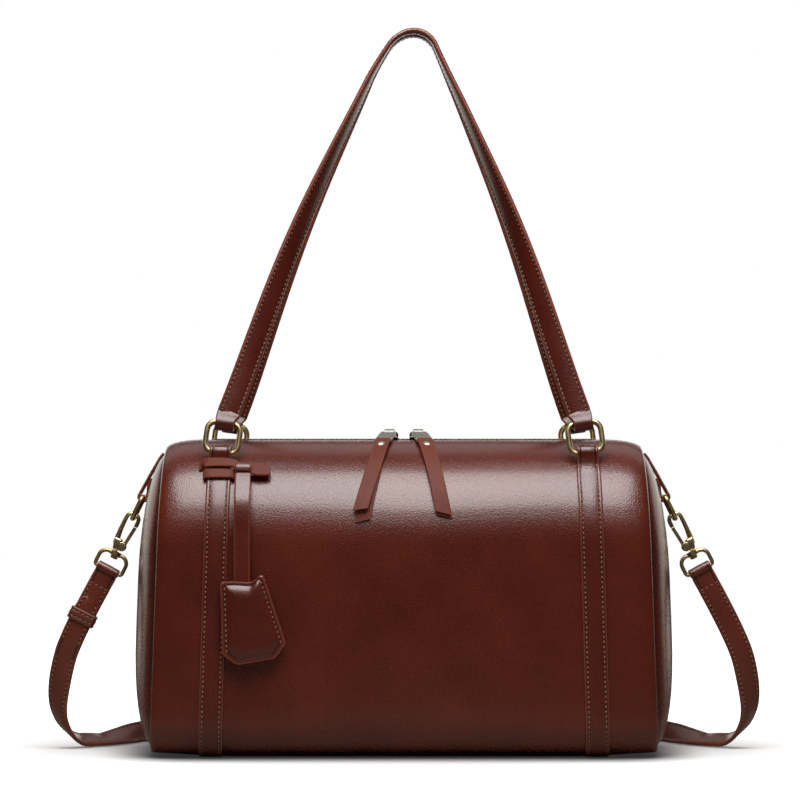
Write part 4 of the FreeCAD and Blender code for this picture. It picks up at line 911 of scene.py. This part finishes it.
def handle(name, back):
    first = 0.026
    shares = [first + (1.0 - first) * step / 26 for step in range(27)] + [1.0 + step / 8 for step in range(1, 9)]
    right = [(handle_point(share), handle_face(share)) for share in shares]
    rows = right + [(other_side(point), other_side(face)) for point, face in reversed(right[:-1])]
    frames = run_frames([point for point, face in rows], [face for point, face in rows])
    bm = bmesh.new()
    strap(bm, frames, STRAP_WIDTH, HANDLE_WALL, both=True, start=2.6, end=-2.6)
    leg = (handle_point(first) - UPPER_BAR).length
    run = (handle_point(first) - UPPER_BAR) / leg
    front = Vector((0, -1, 0))
    front = (front - run * front.dot(run)).normalized()
    rise = RING_BAR.cross(front).normalized()
    rise = rise if rise.z > 0 else -rise
    face = front.lerp(Vector((0, -1, 0)), 0.5).normalized()
    for side in (1, -1):
        path = [(leg + 0.6, -0.74), (0.72 * leg, -1.8), (0.42 * leg, -3.7)]
        half = [UPPER_BAR + rise.lerp(run, clamp(along / leg)) * along + face * out for along, out in path]
        ring = []
        for turn_deg in range(195, 361, 15):
            turn = math.radians(turn_deg)
            ring.append(UPPER_BAR + face * (4.8 * math.cos(turn)) + rise * (4.8 * math.sin(turn)))
        mirror = [UPPER_BAR + rise.lerp(run, clamp(along / leg)) * along - face * out for along, out in reversed(path)]
        points = half + ring + mirror
        ups = []
        for index, point in enumerate(points):
            step = points[min(index + 1, len(points) - 1)] - points[max(index - 1, 0)]
            ups.append(RING_BAR.cross(step).normalized() * -1.0)
        widths = [1.0, 0.94, 0.86] + [0.81] * len(ring) + [0.86, 0.94, 1.0]
        loop = run_frames(points, ups, widths)
        if side < 0:
            loop = [Matrix.Diagonal((-1, 1, 1, 1)) @ place for place in loop]
        outline, rim = strap_outline(STRAP_WIDTH, 1.5, grooved=False)
        sweep(bm, outline, loop, rim)
        across = frames[0].col[0].xyz if side > 0 else other_side(frames[0].col[0].xyz)
        middle = frames[0].translation + run * 0.4
        middle = middle if side > 0 else other_side(middle)
        for way in (1, -1):
            out = face * way if side > 0 else other_side(face * way)
            ends = [middle + out * 1.45 + across * reach for reach in (-5.0, 5.0)]
            sew(bm, walk([frame_at(end, across, out) for end in ends], STITCH_STEP), [(0.0, 0.05)])
    for vert in bm.verts:
        vert.co.x += handle_lean(vert.co.x, vert.co.z)
        vert.co.z += 2.4 * clamp((vert.co.z - UPPER_BAR.z) / (HANDLE_TOP - UPPER_BAR.z)) ** 3
    mirrored(bm, across_y=back)
    piece(name + "_skin", bm, [STRAP_HIDE, THREAD], name, [name])


handle("front_handle", False)
handle("back_handle", True)


# The zip: woven tapes, brass teeth, leather end tabs, sliders and their pulls
ZIP_REACH, TAPE_TOP, BAIL = 123.5, 196.8, 203.5
SLIDER_X, PULL_SPLAY = 9.5, 0.16


def zip_row(name, way):
    """One tape with its beaded edge, and the teeth clamped along it."""
    bm = bmesh.new()
    rounded_box(bm, (-ZIP_REACH, 0.75, TAPE_TOP - 0.8), (ZIP_REACH, 12.0, TAPE_TOP), 0.2, 1)
    rounded_box(bm, (-ZIP_REACH, 2.3, TAPE_TOP - 0.3), (ZIP_REACH, 3.7, TAPE_TOP + 0.9), 0.5, 3)
    mirrored(bm, across_y=way < 0)
    piece("tape_" + name, bm, [TAPE], "bag", ["zip_tape_" + name])
    bm = bmesh.new()
    start = -121.5 + (0.75 if way < 0 else -0.75)
    for tooth in range(82):
        x = start + tooth * 3.0
        rounded_box(bm, (x - 0.8, 0.6, TAPE_TOP + 0.25), (x + 0.8, 3.2, TAPE_TOP + 2.85), 0.4, 1)
    mirrored(bm, across_y=way < 0)
    piece("teeth_" + name, bm, [TOOTH_BRASS], "bag", ["zip_chain_" + name])


zip_row("front", -1)
zip_row("back", 1)


def zip_tab(side, name):
    """A sewn leather tab that closes the zip's end and follows the top down to the seam."""
    points = []
    for step in range(13):
        x = ZIP_REACH + 0.3 + 23.6 * step / 12
        drawn = draw_in((1.0 - min(x / (TOP_LENGTH / 2), 1.0)) * BASE_LENGTH / 2)
        points.append(Vector((side * x, 0, HEIGHT - drawn * END_DROP - 0.95)))
    frames = run_frames(points, [UP] * len(points))
    bm = bmesh.new()
    strap(bm, frames, 14.8, 1.8, start=3.0, end=-3.0)
    ends = [points[1] + Vector((0, way, 0.85)) for way in (-5.0, 5.0)]
    sew(bm, walk([frame_at(end, Vector((0, 1, 0)), UP) for end in ends], STITCH_STEP), [(0.0, 0.05)])
    piece("zip_tab_" + name, bm, [STRAP_HIDE, THREAD], "bag", ["zip_end_tab_" + name])


def tube(bm, points, radius, sides=10, ups=None):
    """A round wire through a row of points."""
    outline = [(radius * math.cos(2 * math.pi * k / sides), radius * math.sin(2 * math.pi * k / sides)) for k in range(sides)]
    sweep(bm, outline, run_frames(points, ups or [Vector((0, -1, 0.013))] * len(points)))


def slider(side, name):
    """A die-cast slider: two rounded plates on a wedge, flanges beside the teeth, and a bail on top."""
    bm = bmesh.new()
    rounded_box(bm, (-6.0, -4.4, 199.75), (6.0, 4.4, 200.95), 0.55)
    rounded_box(bm, (-6.0, -4.4, 194.5), (6.0, 4.4, 195.65), 0.5)
    rounded_box(bm, (-6.0, -0.38, 195.2), (6.0, 0.38, 200.2), 0.1, 1)
    for vert in bm.verts:
        vert.co.y *= 1.0 - 0.22 * clamp((side * vert.co.x + 1.0) / 7.0)
    arch = [(-5.2, 200.4), (-5.2, 201.6), (-5.1, 202.5), (-4.6, 203.2), (-3.8, BAIL), (-1.9, BAIL), (0, BAIL)]
    points = [Vector((x, 0, z)) for x, z in arch + [(-x, z) for x, z in reversed(arch[:-1])]]
    tube(bm, points, 0.78)
    bmesh.ops.translate(bm, vec=(side * SLIDER_X, 0, 0), verts=bm.verts)
    piece("slider_" + name, bm, [NICKEL], "zip_slider_" + name, ["zip_slider_" + name])


def sway(side):
    """The lean of a pull: outward along X as it runs forward and down."""
    lean = Matrix.Identity(4)
    lean[0][1] = -side * PULL_SPLAY * 0.6
    lean[0][2] = -side * PULL_SPLAY
    lean[0][3] = side * PULL_SPLAY * BAIL + side * SLIDER_X
    return lean


def pull_line(reach, lift=0.0):
    """A point on the hanging tag's middle line, the way it runs and the way its face looks."""
    drape = SHOULDER + 2.3
    turn = (reach - TOP_HALF) / drape
    out = Vector((0, -math.sin(turn), math.cos(turn)))
    return SHOULDER_CENTRE + out * (drape + lift), Vector((0, -math.cos(turn), -math.sin(turn))), out


PULL_PLATE = 32.0
PULL_END = pull_line(PULL_PLATE)[0]


def pull_clip(side, name):
    """The pull's metal clip: an eye round the bail, a bright plate and two prongs that hold the leather."""
    bm = bmesh.new()
    eye = []
    for turn_deg in range(20, 341, 20):
        turn = math.radians(turn_deg)
        eye.append(frame_at(Vector((0, -1.66 * math.cos(turn), 1.66 * math.sin(turn))),
                            Vector((0, math.sin(turn), math.cos(turn))),
                            Vector((0, -math.cos(turn), math.sin(turn)))))
    half, wall = 3.1, 0.5
    sweep(bm, [(half, wall), (-half, wall), (-half, -wall), (half, -wall)], eye)
    rounded_box(bm, (-3.1, -7.2, -0.75), (3.1, -2.0, 0.75), 0.3, 2)
    for face in bm.faces:
        face.material_index = 1
    rounded_box(bm, (-5.4, -27.2, -1.05), (5.4, -6.4, 1.05), 0.5)
    for way in (-1, 1):
        low, high = sorted((way * 5.5, way * 4.8))
        rounded_box(bm, (low, -31.9, -1.05), (high, -26.4, 1.05), 0.25, 2)
    rounded_box(bm, (-5.0, -10.2, 0.8), (5.0, -9.2, 1.35), 0.2, 2)
    slope = math.atan2(BAIL - PULL_END.z, -PULL_END.y)
    place = Matrix.Translation((0, 0, BAIL)) @ Matrix.Rotation(slope, 4, "X")
    bmesh.ops.transform(bm, matrix=sway(side) @ place, verts=bm.verts)
    piece("pull_clip_" + name, bm, [SATIN_NICKEL, NICKEL], "zip_pull_" + name, ["pull_plate_" + name])


def pull_tag(side, name):
    """The pull's leather: a strip folded in two, whose ends hang apart a little."""
    bm = bmesh.new()
    outline, rim = strap_outline(9.4, 1.2, grooved=False)
    spread = 1.0 if side < 0 else 0.25
    start, foot = PULL_PLATE - 3.8, 101.5 if side < 0 else 98.8
    for level, reach_end, shift in ((-0.62, foot, 0.0), (0.62, foot - 7.0 * spread, -2.4 * spread)):
        points, ups = [], []
        for step in range(25):
            share = step / 24
            point, run, out = pull_line(start + (reach_end - start) * share, level)
            open_up = clamp((share - 0.35) / 0.65) ** 1.6
            points.append(point + out * (open_up * 2.2 * spread if level > 0 else 0) + Vector((shift * open_up, 0, 0)))
            ups.append(out)
        sweep(bm, outline, run_frames(points, ups), rim)
    for vert in bm.verts:
        vert.co.z -= 0.26 * side * vert.co.x * clamp((176 - vert.co.z) / 24)
    bmesh.ops.transform(bm, matrix=sway(side), verts=bm.verts)
    piece("tag_" + name, bm, [TAG_HIDE], "zip_pull_" + name, ["pull_tag_" + name])


for side, name in SIDES:
    zip_tab(side, name)
    slider(side, name)
    pull_clip(side, name)
    pull_tag(side, name)


# End tabs, clips and what is on the crossbody strap
DEE_BAR = Vector((166.8195, 0.0, 162.3199))
CLIP_FOOT = Vector((183.7406, 0.0, 127.6265))
CLIP_PLACE = Matrix.Translation(CLIP_FOOT) @ Matrix.Rotation(math.radians(-26.0), 4, "Y")


def end_meridian(angle_deg):
    """A point on the right end's upright middle line."""
    turn = math.radians(angle_deg)
    rise = (END_BULGE + END_SEAT) * math.sin(turn) - END_SEAT
    top = front_outline(UNDERSIDE)[1]
    return section_frame(1.0, out=rise, scale=math.cos(turn) ** 0.8) @ Vector((0.0, top[1], 0.0))


def side_tab(side, name):
    """A strap that leaves the end's top seam, hangs free of the swell and folds round its ring's bar, up under itself."""
    rows = []
    for angle in (14, 17, 20, 23, 26):
        run = end_meridian(angle + 0.5) - end_meridian(angle - 0.5)
        out = Vector((-run.z, 0, run.x)).normalized()
        rows.append((end_meridian(angle) + out * 1.15, out))
    lean = 29.0
    out = Vector((math.cos(math.radians(lean)), 0, math.sin(math.radians(lean))))
    rise = Vector((-out.z, 0, out.x))
    foot = DEE_BAR + out * 2.75
    rows += [(foot + rise * reach, out) for reach in (17.0, 13.0, 9.0, 5.0, 2.0)]
    for step in range(13):
        turn = math.radians(lean - 169 * step / 12)
        way = Vector((math.cos(turn), 0, math.sin(turn)))
        rows.append((DEE_BAR + way * 2.75, way))
    rows += [(foot + rise * reach - out * under, -out) for reach, under in ((4.0, 4.2), (8.0, 2.3), (13.0, 1.8))]
    frames = run_frames([point for point, way in rows], [way for point, way in rows])
    bm = bmesh.new()
    strap(bm, frames, STRAP_WIDTH, 1.6, start=4.0, end=-36.0)
    mirrored(bm, across_x=side < 0)
    piece("end_tab_" + name, bm, [STRAP_HIDE, THREAD], "bag", ["side_tab_" + name])


def snap_hook(side, name):
    """A cast snap hook: a tapered base with two round cheeks for the gate, a broad arm, a crook and a headed post."""
    bm = bmesh.new()
    rounded_box(bm, (-0.7, -2.9, 0.0), (5.4, 2.9, 8.2), 1.5, 4)
    for vert in bm.verts:
        vert.co.x = 2.0 + (vert.co.x - 2.0) * (0.62 + 0.38 * vert.co.z / 8.2) - 0.9 * (1.0 - vert.co.z / 8.2)
    for way in (-1, 1):
        place = Matrix.Translation((-1.5, way * 2.2, 3.8)) @ Matrix.Rotation(math.pi / 2, 4, "X")
        cheek = bmesh.ops.create_cone(
            bm, cap_ends=True, segments=24, radius1=3.0, radius2=3.0, depth=1.4, matrix=place
        )["verts"]
        rims = [edge for vert in cheek for edge in vert.link_edges if len(edge.link_faces) == 2]
        sharp = list({edge for edge in rims if edge.calc_face_angle() > 1.0})
        bmesh.ops.bevel(
            bm, geom=sharp, offset=0.4, offset_type="OFFSET", affect="EDGES", segments=3, profile=0.5, material=-1
        )
    points = [Vector((3.0, 0, 4.0)), Vector((3.6, 0, 9.0)), Vector((4.0, 0, 14.0)), Vector((4.1, 0, 19.0))]
    sizes = [2.0, 1.8, 1.55, 1.4]
    for step in range(10):
        turn = math.pi * step / 9
        points.append(Vector((4.0 * math.cos(turn), 0, 22.5 + 4.0 * math.sin(turn))))
        sizes.append(1.15 + 0.2 * abs(math.cos(turn)))
    points += [Vector((-4.0, 0, 20.8)), Vector((-4.0, 0, 18.9))]
    sizes += [1.4, 1.3]
    ring = [(math.cos(2 * math.pi * k / 12) * 1.45, math.sin(2 * math.pi * k / 12)) for k in range(12)]
    frames = []
    for index, point in enumerate(points):
        run = points[min(index + 1, len(points) - 1)] - points[max(index - 1, 0)]
        out = Vector((run.z, 0, -run.x)).normalized()
        frames.append(frame_at(point, run, out, width=sizes[index] * 0.85, wall=sizes[index]))
    sweep(bm, ring, frames)
    post = [(0.0, 0.0), (1.55, 0.0), (1.55, -3.5), (2.5, -3.6), (2.5, -4.6), (1.7, -5.3), (0.0, -5.4)]
    verts = [bm.verts.new((radius, 0, level)) for radius, level in post]
    edges = [bm.edges.new(pair) for pair in zip(verts, verts[1:])]
    bmesh.ops.spin(
        bm, geom=verts + edges, cent=(0, 0, 0), axis=(0, 0, 1), angle=2 * math.pi, steps=20, use_merge=True
    )
    bmesh.ops.remove_doubles(bm, verts=bm.verts, dist=0.002)
    bmesh.ops.transform(bm, matrix=CLIP_PLACE, verts=bm.verts)
    mirrored(bm, across_x=side < 0)
    piece("snap_" + name, bm, [BRASS], "hook_" + name, ["hook_" + name])


for side, name in SIDES:
    side_tab(side, name)
    snap_hook(side, name)

left_frames = cross_frames[: part_at + 1]


def follow_left(obj):
    """What is fixed to the strap near the left clip bends with the strap."""
    path = [place.translation * MM for place in left_frames]
    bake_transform(obj, "clip_left", "bag", start=path[0], end=path[len(path) * 3 // 4])


def strap_tongue():
    """The strap's free end: it comes up over the strap's front and ends in a rounded tip."""
    tip, reach = 20.3, 43.7
    frames = []
    for along, width in ((0.0, 0.2), (0.3, 0.42), (1.3, 0.7), (3.1, 0.88), (5.6, 0.97), (9.0, 1.0), (12.0, 1.0),
                         (16.0, 1.0), (20.0, 1.0), (24.0, 1.0), (29.0, 1.0), (34.0, 1.0), (38.0, 1.0), (reach, 1.0)):
        place = walk(left_frames, 1.0, tip + along, tip + along + 1.0)[0]
        lift = 2.6 * (1.0 - clamp((along - 23.7) / 20.0) ** 2 * 0.95)
        frames.append(place @ Matrix.Translation((0, lift, 0)) @ Matrix.Diagonal((width, 1, 1, 1)))
    bm = bmesh.new()
    strap(bm, frames, CROSS_WIDTH, 2.2, start=5.0, end=-14.0)
    obj = piece("folded_end", bm, [CROSS_HIDE, THREAD], "bag", ["strap_tongue"], ride=False)
    follow_left(obj)


def strap_keeper():
    """A sewn leather band round the strap and its free end."""
    middle = walk(left_frames, 1.0, 34.0, 35.0)[0] @ Matrix.Translation((0, 1.1, 0))
    half, deep, corner = CROSS_WIDTH / 2 + 0.9, 3.4, 1.2
    frames = []
    for quarter, (sx, sy) in enumerate(((1, 1), (-1, 1), (-1, -1), (1, -1))):
        for step in range(5):
            turn = math.radians(90 * quarter + 90 * step / 4)
            out = Vector((math.cos(turn), math.sin(turn), 0))
            spot = Vector((sx * (half - corner), sy * (deep - corner), 0)) + out * corner
            frames.append(middle @ frame_at(spot, UP.cross(out), out))
    outline, rim = strap_outline(8.0, 1.3)
    bm = bmesh.new()
    sweep(bm, outline, frames + frames[:1], rim, caps=False)
    bmesh.ops.remove_doubles(bm, verts=bm.verts, dist=0.002)
    front = [middle @ frame_at(Vector((way, deep, 0)), Vector((1, 0, 0)), Vector((0, 1, 0))) for way in (-6.5, 6.5)]
    sew(bm, walk(front, STITCH_STEP), [(across, 0.45) for across in (-1.8, 1.8)])
    obj = piece("keeper_band", bm, [CROSS_HIDE, THREAD], "bag", ["strap_keeper"], ride=False)
    follow_left(obj)


strap_tongue()
strap_keeper()

# The key bell on the front left strap
BAND_ANGLE, THONG_X, THONG_Y = 41.0, -100.2053, -82.2
BAND_LEFT, BAND_RIGHT = -124.1, -106.6


def band_strip(bm, rows):
    """A strip along the shoulder, by X, height over the leather, angle and width."""
    outline, rim = strap_outline(10.0, 1.7, grooved=False)
    points = [on_shoulder(angle, high) + Vector((x, 0, 0)) for x, high, angle, width in rows]
    ups = []
    for index, row in enumerate(rows):
        out = shoulder_out(row[2])
        step = points[min(index + 1, len(points) - 1)] - points[max(index - 1, 0)]
        ups.append((out - step * (out.dot(step) / step.length_squared)).normalized())
    sweep(bm, outline, run_frames(points, ups, [row[3] / 10.0 for row in rows]), rim)


def key_band():
    """A slit band over the strap: two strips, the upper one running on through the thong's eye to a rounded toggle."""
    left, right, low, top = BAND_LEFT, BAND_RIGHT, 39.6, 45.6
    bm = bmesh.new()
    band_strip(bm, [
        (left - 0.4, 1.1, low, 7.2), (left - 0.5, 2.4, low, 7.3), (left + 0.6, 3.3, low, 7.4), (left + 4, 3.5, low, 7.4),
        (-115.4, 3.6, low, 7.4), (right - 4, 3.5, low, 7.4), (right - 0.4, 3.2, low, 7.3), (right + 0.7, 2.3, low, 7.2),
        (right + 0.7, 1.1, low, 7.0),
    ])
    band_strip(bm, [
        (left - 0.9, 1.1, top - 0.6, 7.0), (left - 1.0, 3.4, top - 0.3, 7.2), (left + 0.4, 5.0, top, 7.4),
        (left + 4, 5.6, top, 7.4), (-115.4, 5.7, top, 7.4), (right - 4, 5.7, top - 0.2, 7.2), (right + 0.6, 5.5, top - 0.8, 6.4),
        (right + 2.2, 5.1, top - 2.0, 5.4), (THONG_X - 3.5, 4.9, BAND_ANGLE + 0.6, 4.6), (THONG_X, 4.9, BAND_ANGLE, 4.4),
        (THONG_X + 4.5, 4.9, BAND_ANGLE, 4.8), (THONG_X + 6.0, 4.9, BAND_ANGLE, 8.0), (THONG_X + 8.0, 4.8, BAND_ANGLE, 9.2),
        (THONG_X + 12.0, 4.6, BAND_ANGLE, 9.4), (THONG_X + 15.0, 4.4, BAND_ANGLE, 9.0), (THONG_X + 16.4, 4.3, BAND_ANGLE, 7.4),
        (THONG_X + 17.0, 4.3, BAND_ANGLE, 5.0),
    ])
    piece("band_skin", bm, [TAG_HIDE], "bag", ["key_band"])


def key_thong():
    """The thong: an eye round the band's tail, a strip that hangs down the front and an eye for the key ring."""
    eye = on_shoulder(BAND_ANGLE, 4.9)
    rows = []
    for step in range(13):
        turn = math.radians(BAND_ANGLE - 75 + 300 * step / 12)
        out = Vector((0, -math.cos(turn), math.sin(turn)))
        rows.append((eye + out * 3.75, out))
    rows.reverse()
    hang = [(-79.0, 163.0), (-80.8, 157.0), (-81.9, 151.0), (THONG_Y, 145.0), (THONG_Y, 120.0), (THONG_Y, 84.0)]
    lead = rows[-1][0]
    rows += [(Vector((0, y, z)), Vector((0, -1, 0.08))) for y, z in hang if z < lead.z - 4]
    points = [point + Vector((THONG_X, 0, 0)) for point, out in rows]
    bm = bmesh.new()
    outline, rim = strap_outline(10.0, 1.7, grooved=False)
    sweep(bm, outline, run_frames(points, [out for point, out in rows]), rim)
    loop = []
    for step in range(13):
        turn = math.radians(90 + 360 * step / 12)
        out = Vector((0, math.cos(turn), math.sin(turn)))
        loop.append(frame_at(Vector((THONG_X, THONG_Y, 80.0)) + out * 1.9, Vector((0, -math.sin(turn), math.cos(turn))), out))
    sweep(bm, [(2.4, 0.5), (-2.4, 0.5), (-2.4, -0.5), (2.4, -0.5)], loop)
    piece("thong_skin", bm, [STRAP_HIDE], "key_strap", ["key_thong"])


BELL_TOP, BELL_FOOT, BELL_CORNER = 112.0, 60.0, 8.0
BELL_HALF_TOP, BELL_HALF_BASE = 13.5, 20.0


def bell_leaf(name, way):
    """One padded leaf of the bell, sewn along its slanting sides."""
    corners = [(-BELL_HALF_TOP, BELL_TOP), (BELL_HALF_TOP, BELL_TOP), (BELL_HALF_BASE, BELL_FOOT + BELL_CORNER),
               (BELL_HALF_BASE - BELL_CORNER, BELL_FOOT), (BELL_CORNER - BELL_HALF_BASE, BELL_FOOT),
               (-BELL_HALF_BASE, BELL_FOOT + BELL_CORNER)]
    outline = []
    for index, corner in enumerate(corners):
        here = Vector(corner)
        into, away = (Vector(corners[index - 1]) - here).normalized(), (Vector(corners[(index + 1) % 6]) - here).normalized()
        for share in (0.0, 0.25, 0.5, 0.75, 1.0):
            outline.append(here + 2.2 * (into * (1 - share) ** 2 + away * share ** 2))
        if index == 0:
            dip = [(-6.0, 0.7), (-1.0, 1.8), (3.0, 2.8), (6.0, 2.9), (9.0, 1.6)]
            outline += [Vector((x, BELL_TOP - drop)) for x, drop in dip]
    middle = (BELL_TOP + BELL_FOOT) / 2
    turned = Matrix(((1, 0, 0, 0), (0, 0, way, 0), (0, 1, 0, 0), (0, 0, 0, 1)))
    frames = []
    for inset, high in ((0.3, 0.1), (0.0, 0.5), (0.0, 1.5), (0.3, 1.9), (0.8, 2.0), (2.0, 2.0), (2.6, 1.8), (3.2, 2.15),
                        (4.6, 3.0), (6.6, 3.7), (9.0, 4.15), (11.5, 4.3)):
        grow = Matrix.Diagonal((1 - inset / 17, 1 - inset / 26, 1, 1))
        frames.append(turned @ Matrix.Translation((0, middle, high)) @ grow @ Matrix.Translation((0, -middle, 0)))
    bm = bmesh.new()
    sweep(bm, outline, frames)
    mark = bm.verts.layers.float["rim"]
    # Rows 0 to 3 get edge paint, row 4 a little of it, and row 6, the groove under the stitches, painted shade.
    for index, vert in enumerate(bm.verts):
        row = index // len(outline)
        vert[mark] = 1.0 if row < 4 else 0.3 if row == 4 else -0.9 if row == 6 else 0.0
    outward = Vector((0, way, 0))
    for side in (-1, 1):
        top = Vector((side * BELL_HALF_TOP * 0.847, way * 1.95, BELL_TOP - 4.5))
        foot = Vector((side * BELL_HALF_BASE * 0.847, way * 1.95, BELL_FOOT + BELL_CORNER + 1.5))
        sew(bm, walk([frame_at(end, foot - top, outward) for end in (top, foot)], STITCH_STEP), [(0.0, 0.0)])
    turn = Matrix.Translation((THONG_X, THONG_Y, BELL_TOP)) @ Matrix.Rotation(math.radians(-10.0), 4, "Y")
    bmesh.ops.transform(bm, matrix=turn @ Matrix.Translation((0, 0, -BELL_TOP)), verts=bm.verts)
    piece("bell_leaf_" + name, bm, [STRAP_HIDE, THREAD], "key_bell", ["bell_" + name])


key_band()
key_thong()
bell_leaf("front", -1)
bell_leaf("back", 1)

# The fittings keep their solids and get their finish.
FITTINGS = ["base_board", "key_ring", "pull_rivet_left", "pull_rivet_right"]
FITTINGS += ["ring_" + end for end in ("front_left", "front_right", "back_left", "back_right")]
for side, name in SIDES:
    FITTINGS += [kind + name for kind in ("d_ring_", "hook_gate_", "gate_pin_", "swivel_loop_")]
for name in FITTINGS:
    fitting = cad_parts[name]
    finish = BOARD if name == "base_board" else SATIN_NICKEL if name.startswith("pull") else BRASS
    for spot in fitting.material_slots:
        spot.material = finish
